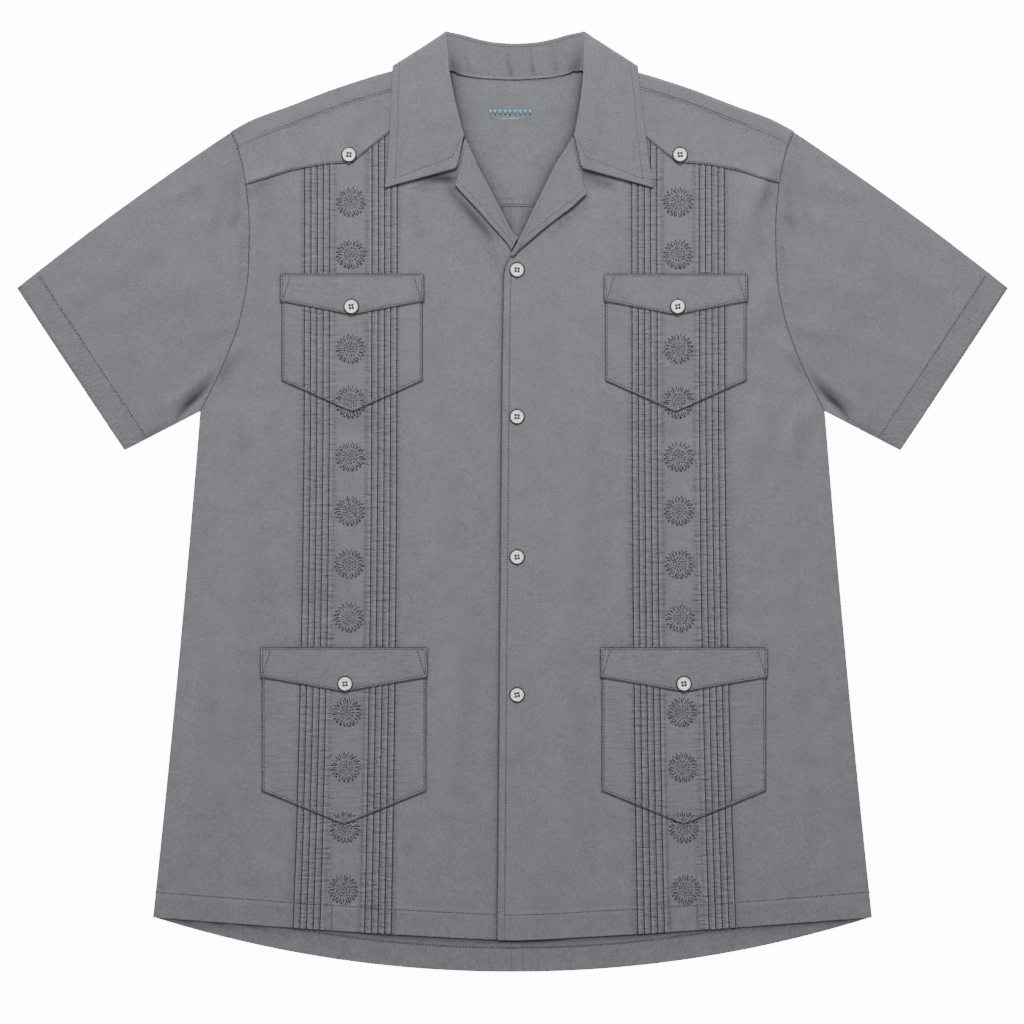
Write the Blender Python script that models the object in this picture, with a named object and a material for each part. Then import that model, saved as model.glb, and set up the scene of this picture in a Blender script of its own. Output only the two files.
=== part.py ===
"""A short-sleeved guayabera shirt, buttoned and laid flat face up, at its real size.

Every cloth piece is a wall of cloth lying on the piece below it: the back and the back yoke on
the table, the fronts and the upper sides of the sleeves on them, then the front yokes, the
pockets, the flaps and the buttons. The collar and the lapels are folded over along their roll
lines. X runs across the shirt, +Y towards the collar and +Z up. The sizes are in millimetres.
"""

from collections import namedtuple

import bmesh
import bpy
import numpy as np
from mathutils import Vector

METRES = 0.001
LEFT = -1
RIGHT = 1

# Cloth.
WALL = 1.0
GAP = 0.3
STEP = WALL + GAP
SEAM = GAP / 2
FOLD_REACH = WALL / 2 + STEP / 2

# Body outline, the same on both sides of the centre line.
SHOULDER_X = 248.0
UNDERARM_X = 275.0
UNDERARM_Y = 79.0
HEM_CORNER_X = 316.5
HEM_CORNER_Y = -365.4
SIDE_HOLLOW = 1.6
FRONT_HEM_DROP = 20.3
FRONT_HEM_POWER = 1.25
BACK_HEM_DROP = 48.3
BACK_HEM_POWER = 2.05
YOKE_SEAM_Y = 259.7
FORWARD_DROP = {LEFT: 16.5, RIGHT: 13.0}
NECK_HALF = 58.0

# Sleeves.
SLEEVE_HEM_TOP = (436.0, 188.0)
SLEEVE_HEM_BOTTOM = (340.3, 46.6)
SLEEVE_CROWN = 5.0

# Front closing, tucks and pockets. The decoration of the right front lies a little further out.
BUTTON_LINE_X = 4.0
BUTTON_YS = (203.6, 74.6, -48.6, -169.6)
UNDERLAP_X = 20.0
LAP_END_X = 36.0
LAP_RAMP = 16.0
COLUMN_SPACE = 4.0
DECOR_SHIFT = {LEFT: 0.0, RIGHT: 3.5}
POCKET_SHIFT = {LEFT: 0.0, RIGHT: 2.5}
TUCKS = 5
TUCK_PITCH = 5.5
TUCK_RISE = 0.5
TUCK_SLOPE = 0.5
INNER_TUCK_X = 101.5
OUTER_TUCK_X = 160.4
TUCK_TOP_Y = 265.0
TUCK_FLARE = 5.0
TUCK_FLARE_MORE = 3.6
TUCK_FLARE_POWER = 2.5

# Heights of the underside of each layer.
BACK_Z = 0.0
FRONT_Z = STEP
LAP_Z = 2 * STEP
ON_TUCKS_Z = FRONT_Z + STEP + TUCK_RISE
FLAP_Z = ON_TUCKS_Z + STEP + TUCK_RISE

# Near the neck everything lies on the hidden fall of the collar.
COLLAR_LIFT = STEP
LIFT_SHARE_FRONT = 1.25
LIFT_SHARE_YOKE = 1.45
LIFT_START_Y = 330.0
LIFT_END_Y = 350.0
LIFT_FULL_X = 115.0
LIFT_NONE_X = 137.0

# Buttons.
BUTTON_RADIUS = 5.7
BUTTON_HEIGHT = 2.0
BUTTON_SIDES = 18
BUTTON_RIM = 1.2
BUTTON_DISH = 0.5
BUTTON_HOLE_RADIUS = 0.75
BUTTON_HOLE_OFFSET = 1.25
HOLE_SIDES = 6

Outline = namedtuple("Outline", "x y")
CollarRow = namedtuple(
    "CollarRow", "neck_x neck_y neck_z roll_x roll_y roll_z edge_x edge_y edge_z turn"
)
LapelRow = namedtuple("LapelRow", "roll_x roll_y roll_z outer_x outer_y outer_z")
Pocket = namedtuple("Pocket", "inner outer top corner tip flap_corner flap_tip")

SHOULDER_LINE = (
    Outline(40, 392.0),
    Outline(64, 388.0),
    Outline(103, 379.6),
    Outline(154, 364.3),
    Outline(194, 349.0),
    Outline(229, 336.0),
    Outline(SHOULDER_X, 325.8),
)
ARMHOLE = (
    Outline(SHOULDER_X, 325.8),
    Outline(241, 310.0),
    Outline(234.5, 279.0),
    Outline(231.5, 241.0),
    Outline(232.5, 203.0),
    Outline(239, 164.0),
    Outline(249, 134.0),
    Outline(261.5, 106.0),
    Outline(UNDERARM_X, UNDERARM_Y),
)
BACK_NECKLINE = (
    Outline(0, 369.9),
    Outline(31, 371.8),
    Outline(50, 375.6),
    Outline(NECK_HALF, 380.5),
)
FRONT_YOKE_EDGE = (
    Outline(60, 352.0),
    Outline(107, 325.4),
    Outline(141, 298.2),
    Outline(160, 296.8),
    Outline(182, 293.4),
    Outline(200, 289.4),
    Outline(216, 284.0),
    Outline(235, 279.0),
)

# The neck edge of each front: under the collar leaf, down the fold of the lapel, then straight.
FRONT_EDGE = {
    LEFT: (
        Outline(-68, 390.0),
        Outline(-60, 350.0),
        Outline(-45, 318.0),
        Outline(-18.5, 265.0),
        Outline(1.5, 227.0),
        Outline(12, 208.0),
        Outline(UNDERLAP_X, 190.0),
        Outline(UNDERLAP_X, -400.0),
    ),
    RIGHT: (
        Outline(71, 390.0),
        Outline(64, 350.0),
        Outline(55.5, 323.0),
        Outline(41.5, 298.0),
        Outline(22.0, 259.0),
        Outline(5.6, 226.0),
        Outline(-3.0, 213.0),
        Outline(-7.5, 200.0),
        Outline(-10.1, -9.0),
        Outline(-13.4, -400.0),
    ),
}

# One row for each section of the collar, from the centre of the back to the gorge of a leaf. The
# roll is the fold, and turn says which side of it the stand is on: 1 above, -1 under the leaf.
COLLAR = (
    CollarRow(0, 370.2, 1.8, 0, 402.6, 5.3, 0, 355.0, 0.5, 1.0),
    CollarRow(16, 370.5, 1.8, 16, 403.5, 5.3, 24, 355.6, 0.5, 1.0),
    CollarRow(31, 372.1, 1.9, 30.5, 406.0, 5.4, 50, 358.6, 0.5, 1.0),
    CollarRow(43, 374.2, 2.1, 47, 410.4, 5.8, 76, 365.6, 0.5, 1.0),
    CollarRow(48.5, 375.6, 3.2, 56.5, 412.2, 6.6, 104.5, 380.0, 0.5, 0.8),
    CollarRow(51, 376.4, 3.6, 60.2, 412.9, 7.2, 107.4, 382.4, 2.6, 0.5),
    CollarRow(53, 377.6, 4.2, 61.4, 411.6, 7.8, 107.8, 382.2, 6.6, 0.0),
    CollarRow(57, 378.6, 5.0, 60.2, 398.0, 8.8, 108.6, 368.0, 7.2, -0.6),
    CollarRow(66, 375.0, 6.7, 58.8, 380.0, 9.4, 110.5, 350.0, 7.2, -1.0),
    CollarRow(66, 360.0, 6.7, 56.4, 362.0, 9.4, 112.0, 330.0, 6.8, -1.0),
    CollarRow(62, 345.0, 6.4, 53.6, 346.0, 9.0, 114.0, 308.0, 6.4, -1.0),
    CollarRow(55.5, 330.0, 5.6, 50.4, 331.0, 8.0, 116.2, 290.0, 6.0, -1.0),
    CollarRow(51.0, 322.6, 4.9, 48.0, 321.0, 6.6, 118.2, 275.6, 5.6, -1.0),
)
GORGE_BOTTOM = Outline(54.4, 292.8)
GORGE_Z = 6.0
# The collar lies a little right of the centre line, most of all at its points.
COLLAR_SHIFT = 2.4
COLLAR_SHIFT_AT_POINT = 5.8
COLLAR_TURN = 1.15
LAPEL_CURL = 2.2
LAPEL_CURL_DROP = 1.3
LAPEL_TURN = 0.9
LAPEL_TURN_RISE = 0.5
LAPEL_SIDEWAYS = 0.7
NECK_CLEARANCE = 0.8

LAPEL = {
    LEFT: (
        LapelRow(-41.4, 318.6, 6.0, -47.0, 291.8, 5.8),
        LapelRow(-37.6, 310.0, 6.0, -50.6, 277.9, 5.4),
        LapelRow(-29.8, 293.0, 5.9, -40.0, 266.4, 5.2),
        LapelRow(-20.0, 274.5, 5.7, -30.0, 255.6, 5.0),
        LapelRow(-11.0, 257.2, 5.4, -18.0, 242.0, 4.8),
        LapelRow(-4.0, 243.0, 5.2, -8.6, 231.4, 4.6),
        LapelRow(-1.2, 237.5, 5.0, -5.0, 228.0, 4.5),
    ),
    RIGHT: (
        LapelRow(52.6, 319.6, 6.4, 59.0, 291.2, 6.2),
        LapelRow(48.4, 312.0, 6.8, 65.4, 270.6, 6.2),
        LapelRow(38.5, 297.0, 7.4, 52.6, 258.8, 6.4),
        LapelRow(29.4, 278.5, 7.4, 40.6, 249.7, 6.4),
        LapelRow(19.8, 259.0, 7.4, 28.4, 240.2, 6.4),
        LapelRow(11.0, 240.2, 7.2, 17.4, 230.7, 6.4),
        LapelRow(3.4, 225.0, 6.8, 7.0, 222.0, 6.2),
        LapelRow(-1.4, 216.0, 6.4, 0.4, 214.6, 6.0),
    ),
}

# One row for each pocket, in distances from the centre line to its sides.
POCKETS = {
    "upper": Pocket(79.3, 202.3, 199.6, 106.8, 79.4, 176.4, 164.2),
    "lower": Pocket(76.2, 219.6, -128.0, -253.6, -282.6, -153.6, -166.4),
}
FLAP_OVER = 1.2
FLAP_SHOULDER = 30.0
YOKE_BUTTON = Outline(144.2, 305.8)
UPPER_FLAP_BUTTON = Outline(141.4, 172.2)
LOWER_FLAP_BUTTON = Outline(146.8, -159.7)

# Shares of the way down from the forward seam to the first button, then heights below it.
FRONT_SHARES = (0.0, 0.13, 0.24, 0.36, 0.48, 0.6, 0.72, 0.84, 0.92, 1.0)
FIRST_BUTTON_Y = 203.0
FRONT_HEIGHTS = (165.0, 134.0, 106.0, 79.0, -40.0, -150.0, -260.0)
BACK_HEIGHTS = (232.0, 203.0, 165.0, 134.0, 106.0, 79.0, -40.0, -150.0, -260.0)
YOKE_HEIGHTS = (300.0, LIFT_START_Y, LIFT_END_Y)
YOKE_COLUMNS = (0.0, 25.0, 45.0, NECK_HALF, 63.0, 85.0, 103.0, LIFT_FULL_X, LIFT_NONE_X, 165.0,
                195.0, 225.0)
YOKE_FULL_Y = LIFT_END_Y + 15.0
FRONT_YOKE_POINT = 141.0
FRONT_YOKE_COLUMNS = (66.0, 85.0, 107.0, 127.0, FRONT_YOKE_POINT, 160.0, 182.0, 205.0, 235.0)
FRONT_YOKE_SHARES = (0.0, 0.3, 0.65, 1.0)
BACK_COLUMNS = (60.0, 120.0, 175.0)
SLEEVE_STATIONS = (0.0, 0.15, 0.35, 0.6, 0.82, 1.0)
SLEEVE_SHARES = (0.1, 0.22, 0.36, 0.5, 0.64, 0.78, 0.9)
SLEEVE_SEAM = 1.5 * GAP
FALL_SHARES = (0.0, 0.22, 0.5, 1.0)
FALL_DROP_POWER = 5
SOLVE_STEPS = 3
PLEAT_EDGES = (-1.3, 9.2)
PLEAT_GROOVE = 0.3
PLEAT_GROOVE_WIDTH = 1.2


def smooth(rows, at):
    """Read y at the places x of a line through the rows, as a smooth curve with no overshoot."""
    xs = np.array([row.x for row in rows], float)
    ys = np.array([row.y for row in rows], float)
    order = np.argsort(xs)
    xs, ys = xs[order], ys[order]
    rise = np.diff(ys) / np.diff(xs)
    before, after = rise[:-1], rise[1:]
    same = before * after > 0
    inner = np.where(same, 2 * before * after / np.where(same, before + after, 1.0), 0.0)
    slopes = np.concatenate([rise[:1], inner, rise[-1:]])
    at = np.clip(at, xs[0], xs[-1])
    cell = np.clip(np.searchsorted(xs, at) - 1, 0, len(xs) - 2)
    width = xs[cell + 1] - xs[cell]
    t = (at - xs[cell]) / width
    start = (2 * t**3 - 3 * t**2 + 1) * ys[cell] + (t**3 - 2 * t**2 + t) * width * slopes[cell]
    end = (3 * t**2 - 2 * t**3) * ys[cell + 1] + (t**3 - t**2) * width * slopes[cell + 1]
    return start + end


def across(rows):
    """The same rows with x and y exchanged, to read x at a height y."""
    return tuple(Outline(row.y, row.x) for row in rows)


def shoulder_y(x):
    return smooth(SHOULDER_LINE, np.abs(x))


def forward_seam_y(x, side):
    return shoulder_y(x) - FORWARD_DROP[side]


def body_edge_x(y):
    """Distance from the centre line to the armhole seam, or to the side edge below it."""
    down = np.clip((UNDERARM_Y - y) / (UNDERARM_Y - HEM_CORNER_Y), 0, 1.2)
    side = UNDERARM_X + (HEM_CORNER_X - UNDERARM_X) * down - 4 * SIDE_HOLLOW * down * (1 - down)
    return np.where(y > UNDERARM_Y, smooth(across(ARMHOLE), y), side)


def front_hem_y(x):
    out = np.minimum(np.abs(x) / HEM_CORNER_X, 1)
    return HEM_CORNER_Y - FRONT_HEM_DROP * (1 - out**FRONT_HEM_POWER)


def back_hem_y(x):
    out = np.minimum(np.abs(x) / HEM_CORNER_X, 1)
    return HEM_CORNER_Y - BACK_HEM_DROP * (1 - out**BACK_HEM_POWER)


def lift(x, y):
    """Rise of the body over the hidden part of the collar, along straight ramps."""
    up = np.clip((y - LIFT_START_Y) / (LIFT_END_Y - LIFT_START_Y), 0, 1)
    inwards = np.clip((LIFT_NONE_X - np.abs(x)) / (LIFT_NONE_X - LIFT_FULL_X), 0, 1)
    return COLLAR_LIFT * up * inwards


def tuck_x(start, y, side):
    """Distance from the centre line to a tuck that starts there, which flares to the hem."""
    down = np.clip((TUCK_TOP_Y - y) / (TUCK_TOP_Y - HEM_CORNER_Y), 0, 1.1) ** TUCK_FLARE_POWER
    flare = TUCK_FLARE + TUCK_FLARE_MORE * (start - INNER_TUCK_X) / (OUTER_TUCK_X - INNER_TUCK_X)
    return DECOR_SHIFT[side] + start + flare * down


def tuck_columns():
    """(start, rise) of each column over both groups: every tuck folds away from the middle."""
    columns = [(INNER_TUCK_X - TUCK_SLOPE, 0.0)]
    for index in range(TUCKS):
        start = INNER_TUCK_X + index * TUCK_PITCH
        columns += [(start, TUCK_RISE), (start + TUCK_PITCH - TUCK_SLOPE, 0.0)]
    for index in range(TUCKS):
        end = OUTER_TUCK_X + index * TUCK_PITCH
        columns += [(end - TUCK_PITCH + TUCK_SLOPE, 0.0), (end, TUCK_RISE)]
    return columns + [(OUTER_TUCK_X + (TUCKS - 1) * TUCK_PITCH + TUCK_SLOPE, 0.0)]


def cloth_material(name, colour, roughness):
    material = bpy.data.materials.new(name)
    material.use_nodes = True
    shader = material.node_tree.nodes["Principled BSDF"]
    shader.inputs["Base Color"].default_value = (*colour, 1.0)
    shader.inputs["Roughness"].default_value = roughness
    shader.inputs["Metallic"].default_value = 0.0
    return material


def link(name, mesh, material):
    """A new named object in the scene, from a mesh in millimetres."""
    mesh.transform(((METRES, 0, 0, 0), (0, METRES, 0, 0), (0, 0, METRES, 0), (0, 0, 0, 1)))
    mesh.materials.append(material)
    made = bpy.data.objects.new(name, mesh)
    bpy.context.scene.collection.objects.link(made)
    return made


def grid_faces(form, points, closed=False):
    """Add a grid of points, an array of rows x columns x 3, and the quads between them."""
    rows, columns = points.shape[:2]
    verts = [[form.verts.new(Vector(point)) for point in row] for row in points]
    for i in range(rows - 1):
        for j in range(columns if closed else columns - 1):
            k = (j + 1) % columns
            form.faces.new((verts[i][j], verts[i][k], verts[i + 1][k], verts[i + 1][j]))
    return verts


def panel(name, x, y, z, rise, material):
    """A flat piece: a grid for its underside, extruded up by the wall and the rise of its tucks."""
    form = bmesh.new()
    points = np.dstack(np.broadcast_arrays(x, y, z))
    rises = np.broadcast_to(rise, points.shape[:2]).ravel()
    grid_faces(form, points)
    form.verts.index_update()
    height = {vert.index: float(rises[vert.index]) for vert in form.verts}
    under = list(form.verts)
    made = bmesh.ops.extrude_face_region(form, geom=list(form.faces))
    upper = [item for item in made["geom"] if isinstance(item, bmesh.types.BMVert)]
    places = {(round(v.co.x, 4), round(v.co.y, 4)): height[v.index] for v in under}
    for vert in upper:
        vert.co.z += WALL + places[(round(vert.co.x, 4), round(vert.co.y, 4))]
    bmesh.ops.recalc_face_normals(form, faces=form.faces)
    mesh = bpy.data.meshes.new(name)
    form.to_mesh(mesh)
    form.free()
    return link(name, mesh, material)


def folded(name, grids, material):
    """A folded piece: grids through the middle of its wall, joined, then given their thickness."""
    form = bmesh.new()
    for points, closed in grids:
        grid_faces(form, points, closed)
    bmesh.ops.remove_doubles(form, verts=form.verts, dist=0.01)
    bmesh.ops.recalc_face_normals(form, faces=form.faces)
    mesh = bpy.data.meshes.new(name)
    form.to_mesh(mesh)
    form.free()
    made = link(name, mesh, material)
    wall = made.modifiers.new("wall", "SOLIDIFY")
    wall.thickness = WALL * METRES
    wall.offset = 0.0
    wall.use_even_offset = False
    return made


def edge_x(side, y):
    """Distance from the centre line to the inner edge of a front; below 0 past the centre."""
    return side * smooth(across(FRONT_EDGE[side]), y)


def name_of(side):
    return {LEFT: "left", RIGHT: "right"}[side]


def front_panel(side, material):
    """One front, from the forward shoulder seam to the hem, with its two groups of tucks."""
    shares = np.array(FRONT_SHARES)[:, None]
    starts = np.array([start for start, _ in tuck_columns()])[None, :]
    rises = np.array([rise for _, rise in tuck_columns()])
    hem_y = HEM_CORNER_Y - FRONT_HEM_DROP / 2
    upper = 350.0 - (350.0 - FIRST_BUTTON_Y) * shares
    y = np.vstack([upper, np.array([*FRONT_HEIGHTS, hem_y])[:, None]])
    y = np.repeat(y, starts.shape[1] + 5, axis=1)
    for _ in range(SOLVE_STEPS):
        inner = edge_x(side, y[:, :1])
        outer = body_edge_x(y[:, -1:])
        tucks = tuck_x(starts, y[:, 3:-2], side)
        lap_end = np.maximum(inner + COLUMN_SPACE, LAP_END_X)
        ramp_end = np.maximum(lap_end + COLUMN_SPACE, LAP_END_X + LAP_RAMP)
        side_x = (tucks[:, -1:] + outer) / 2
        x = np.hstack([inner, lap_end, ramp_end, tucks, side_x, outer])
        top = forward_seam_y(x[:1], side) - SEAM
        upper = top - (top - FIRST_BUTTON_Y) * shares
        lower = np.repeat(np.array(FRONT_HEIGHTS)[:, None], x.shape[1], axis=1)
        y = np.vstack([upper, lower, front_hem_y(x[-1:])])
    lap = (LAP_Z - FRONT_Z) * np.clip(1 - (x - LAP_END_X) / LAP_RAMP, 0, 1) * (side == RIGHT)
    z = FRONT_Z + lap + lift(x, y) * LIFT_SHARE_FRONT
    rise = np.hstack([[0.0] * 3, rises, [0.0] * 2])
    return panel("front_" + name_of(side), side * x, y, z, rise, material)


def front_yoke(side, material):
    """The pointed yoke over one front, from the forward seam to its buttoned edge."""
    low = DECOR_SHIFT[side]
    columns = np.array(FRONT_YOKE_COLUMNS)
    columns[FRONT_YOKE_COLUMNS.index(FRONT_YOKE_POINT)] += low
    shares = np.array(FRONT_YOKE_SHARES)[:, None]
    x = np.repeat(columns[None, :], len(shares), axis=0)
    for _ in range(SOLVE_STEPS):
        top = forward_seam_y(x[0], side) - SEAM
        bottom = smooth(FRONT_YOKE_EDGE, x[-1] - low)
        y = top + (bottom - top) * shares
        x[:, -1] = body_edge_x(y[:, -1]) - SEAM
        x[:, 0] = edge_x(side, y[:, 0])
    z = ON_TUCKS_Z + lift(x, y) * LIFT_SHARE_YOKE
    return panel("front_yoke_" + name_of(side), side * x, y, z, 0.0, material)


def back(material):
    """The back, from the yoke seam to its longer, curved hem, with the edges of its pleat."""
    half = PLEAT_GROOVE_WIDTH / 2
    grooves = [edge + step for edge in PLEAT_EDGES for step in (-half, 0.0, half)]
    middle = np.array(sorted([-x for x in BACK_COLUMNS] + grooves + list(BACK_COLUMNS)))
    rows = np.array([YOKE_SEAM_Y - SEAM, *BACK_HEIGHTS, HEM_CORNER_Y])[:, None]
    outer = body_edge_x(rows)
    flare = outer / UNDERARM_X
    inner = np.where(np.abs(middle) < BACK_COLUMNS[0], middle, middle * flare)
    x = np.hstack([-outer, inner, outer])
    y = np.repeat(rows, x.shape[1], axis=1)
    y[-1] = back_hem_y(x[-1])
    dip = np.where(np.isin(middle, PLEAT_EDGES), -PLEAT_GROOVE, 0.0)
    return panel("back", x, y, BACK_Z, np.hstack([0.0, dip, 0.0]), material)


def back_yoke(material):
    """The back yoke: a lower side, folded over each shoulder to the forward seam."""
    half = np.array([*YOKE_COLUMNS, SHOULDER_X - 1.0])
    x = np.concatenate([-half[:0:-1], half])
    neck = np.abs(x) <= NECK_HALF
    neckline = smooth(BACK_NECKLINE, np.abs(x)) - SEAM
    top = np.where(neck, neckline, shoulder_y(x) - FOLD_REACH)
    bottom = YOKE_SEAM_Y + SEAM
    share = np.minimum((top - bottom) / (YOKE_FULL_Y - bottom), 1.0)
    rows = [np.full_like(x, bottom)]
    rows += [bottom + (height - bottom) * share for height in YOKE_HEIGHTS] + [top]
    y = np.array(rows)
    wide = np.repeat(x[None, :], len(y), axis=0)
    wide[:, 0] = -body_edge_x(np.minimum(y[:, 0], SHOULDER_LINE[-1].y))
    wide[:, -1] = body_edge_x(np.minimum(y[:, -1], SHOULDER_LINE[-1].y))
    middle = WALL / 2
    grids = [(np.dstack([wide, y, middle + lift(wide, y)]), False)]
    for side in (LEFT, RIGHT):
        mine = (side * x) > NECK_HALF
        xs = wide[-1, mine]
        ends = forward_seam_y(xs, side) + SEAM
        ys = np.array([top[mine], top[mine] + STEP / 2, top[mine], ends])
        xs = np.repeat(xs[None, :], 4, axis=0)
        last = 0 if side == LEFT else -1
        xs[2:, last] = side * body_edge_x(ys[2:, last])
        ys[3, last] = forward_seam_y(xs[3, last], side) + SEAM
        raised = lift(xs[0], top[mine])
        zs = np.array([raised, raised + STEP / 2, raised + STEP, raised + STEP]) + middle
        zs[2:] += raised * (LIFT_SHARE_FRONT - 1)
        grids.append((np.dstack([xs, ys, zs]), False))
    return folded("back_yoke", grids, material)


def sleeve(side, material):
    """A sleeve: a tube pressed flat, as rings from the armhole seam to its hem."""
    top_start = np.array([SHOULDER_X, SHOULDER_LINE[-1].y])
    low_start = np.array([UNDERARM_X, UNDERARM_Y])
    top_hem = np.array(SLEEVE_HEM_TOP)
    low_hem = np.array(SLEEVE_HEM_BOTTOM)
    rings = []
    for along in SLEEVE_STATIONS:
        over = top_start + (top_hem - top_start) * along
        crown = np.array([top_hem[1] - top_start[1], top_start[0] - top_hem[0]]) * -1
        over = over + crown / np.linalg.norm(crown) * 4 * SLEEVE_CROWN * along * (1 - along)
        under = low_start + (low_hem - low_start) * along
        length = np.linalg.norm(under - over)
        down = (under - over) / length
        near = FOLD_REACH / length
        shares = np.array([near, *SLEEVE_SHARES, 1 - near])[:, None]
        straight = over + (under - over) * shares
        height = top_start[1] + (low_start[1] - top_start[1]) * shares[:, 0]
        seam = np.column_stack([smooth(across(ARMHOLE), height), height])
        chord = top_start + (low_start - top_start) * shares
        flat = straight + (seam - chord) * (1 - along)
        flat[:, 0] += SLEEVE_SEAM
        first = over + down * (WALL / 2) + [SLEEVE_SEAM, 0]
        last = under - down * (WALL / 2) + [SLEEVE_SEAM, 0]
        low_z, fold_z, high_z = WALL / 2, WALL / 2 + STEP / 2, WALL / 2 + STEP
        ring = [[*first, fold_z]] + [[*point, high_z] for point in flat]
        ring += [[*last, fold_z]] + [[*point, low_z] for point in flat[::-1]]
        rings.append(ring)
    points = np.array(rings)
    points[..., 0] *= side
    return folded("sleeve_" + name_of(side), [(points, True)], material)


def collar_section(row, side):
    """Points across the collar at one section: the stand, the rounded roll, then the fall."""
    at_point = (COLLAR[0].roll_y - row.roll_y) / (COLLAR[0].roll_y - COLLAR[-1].roll_y)
    shift = COLLAR_SHIFT + (COLLAR_SHIFT_AT_POINT - COLLAR_SHIFT) * max(at_point, 0.0)
    neck = np.array([row.neck_x, row.neck_y, row.neck_z])
    if row.turn > 0:
        neck[1] = smooth(BACK_NECKLINE, abs(row.neck_x * side + shift)) + NECK_CLEARANCE
    roll = np.array([row.roll_x, row.roll_y, row.roll_z])
    edge = np.array([row.edge_x, row.edge_y, row.edge_z])
    to_neck = (neck - roll)[:2] / np.linalg.norm((neck - roll)[:2])
    to_edge = (edge - roll)[:2] / np.linalg.norm((edge - roll)[:2])
    before = np.array([*(roll[:2] + to_neck * COLLAR_TURN), roll[2] + row.turn * COLLAR_TURN / 2])
    after = np.array([*(roll[:2] + to_edge * COLLAR_TURN), roll[2] - row.turn * COLLAR_TURN / 2])
    inset = (to_neck + to_edge) / 2 * WALL / 2
    points = [neck, (neck + before) / 2, before, roll + [*inset, 0.0]]
    gorge = np.array([GORGE_BOTTOM.x, GORGE_BOTTOM.y, GORGE_Z])
    for share in FALL_SHARES:
        point = after + (edge - after) * share
        settle = (1 - share) ** (FALL_DROP_POWER if row.turn > 0 else 1)
        point[2] = edge[2] + (after[2] - edge[2]) * settle
        points.append(point)
    if row is COLLAR[-1]:
        points[5] = gorge
        points[6] = (gorge + edge) / 2
    points = np.array(points)
    points[:, 0] = points[:, 0] * side + shift
    return points


def collar(material):
    """The collar: one strip, from the gorge of the left leaf round the back to the right leaf."""
    sections = [collar_section(row, LEFT) for row in COLLAR[:0:-1]]
    sections += [collar_section(row, RIGHT) for row in COLLAR]
    return folded("collar", [(np.array(sections), False)], material)


def lapel(side, material):
    """A lapel: the facing turned out over its front, with its edge curled under at the roll."""
    sections = []
    for row in LAPEL[side]:
        roll = np.array([row.roll_x, row.roll_y, row.roll_z])
        outer = np.array([row.outer_x, row.outer_y, row.outer_z])
        away = (outer - roll)[:2]
        away = away / np.linalg.norm(away) * (1 - LAPEL_SIDEWAYS) + [side * LAPEL_SIDEWAYS, 0.0]
        under = roll + [*(away * LAPEL_CURL), -LAPEL_CURL_DROP]
        over = roll + [*(away * LAPEL_TURN), LAPEL_TURN_RISE]
        sections.append([under, roll, over, (over + outer) / 2, outer])
    return folded("lapel_" + name_of(side), [(np.array(sections), False)], material)


def pocket(level, side, material):
    """A patch pocket with a pointed bottom, whose tucks stand on those of the front."""
    size = POCKETS[level]
    low = POCKET_SHIFT[side]
    middle_y = (size.top + size.corner) / 2
    rows = np.array([size.top - FLAP_OVER, middle_y, size.corner, size.tip])[:, None]
    starts = np.array([start for start, _ in tuck_columns()])[None, :]
    rises = np.array([rise for _, rise in tuck_columns()])
    tucks = tuck_x(starts, rows, side)
    inner, outer = size.inner + low, size.outer + low
    tip = (inner + outer) / 2
    column = np.ones_like(rows)
    half = starts.shape[1] // 2
    x = np.hstack([column * inner, tucks[:, :half], column * tip, tucks[:, half:], column * outer])
    y = np.repeat(rows, x.shape[1], axis=1)
    reach = (size.outer - size.inner) / 2
    y[-1] = size.tip + (size.corner - size.tip) * np.abs(x[-1] - tip) / reach
    y[-2] = (y[-1] + y[-3]) / 2
    rise = np.hstack([0.0, rises[:half], 0.0, rises[half:], 0.0])
    return panel(f"pocket_{level}_{name_of(side)}", side * x, y, ON_TUCKS_Z, rise, material)


def flap(level, side, material):
    """A plain pocket flap whose lower edge comes down to a buttoned point."""
    size = POCKETS[level]
    low = POCKET_SHIFT[side]
    tip = (size.inner + size.outer) / 2 + low
    steps = (-FLAP_SHOULDER, 0.0, FLAP_SHOULDER)
    ends = (size.inner + low - FLAP_OVER, size.outer + low + FLAP_OVER)
    columns = np.array([ends[0], *(tip + step for step in steps), ends[1]])
    reach = columns[-1] - tip
    bottom = size.flap_tip + (size.flap_corner - size.flap_tip) * np.abs(columns - tip) / reach
    y = np.array([np.full_like(columns, size.top), bottom])
    x = np.repeat(columns[None, :], 2, axis=0)
    return panel(f"flap_{level}_{name_of(side)}", side * x, y, FLAP_Z, 0.0, material)


def turned(form, profile, sides):
    """Add the solid of revolution of a profile of (radius, height), closed on its axis."""
    angles = np.linspace(0, 2 * np.pi, sides, endpoint=False)
    rings = [
        [form.verts.new((r * np.cos(a), r * np.sin(a), h)) for a in angles] for r, h in profile
    ]
    for low, high in zip(rings, rings[1:]):
        for i in range(sides):
            j = (i + 1) % sides
            form.faces.new((low[i], low[j], high[j], high[i]))
    form.faces.new(rings[0][::-1])
    form.faces.new(rings[-1])


def turned_mesh(name, profile, sides, places=((0.0, 0.0),)):
    form = bmesh.new()
    for x, y in places:
        before = len(form.verts)
        turned(form, profile, sides)
        form.verts.ensure_lookup_table()
        bmesh.ops.translate(form, verts=form.verts[before:], vec=(x, y, 0.0))
    bmesh.ops.recalc_face_normals(form, faces=form.faces)
    mesh = bpy.data.meshes.new(name)
    form.to_mesh(mesh)
    form.free()
    return mesh


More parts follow.
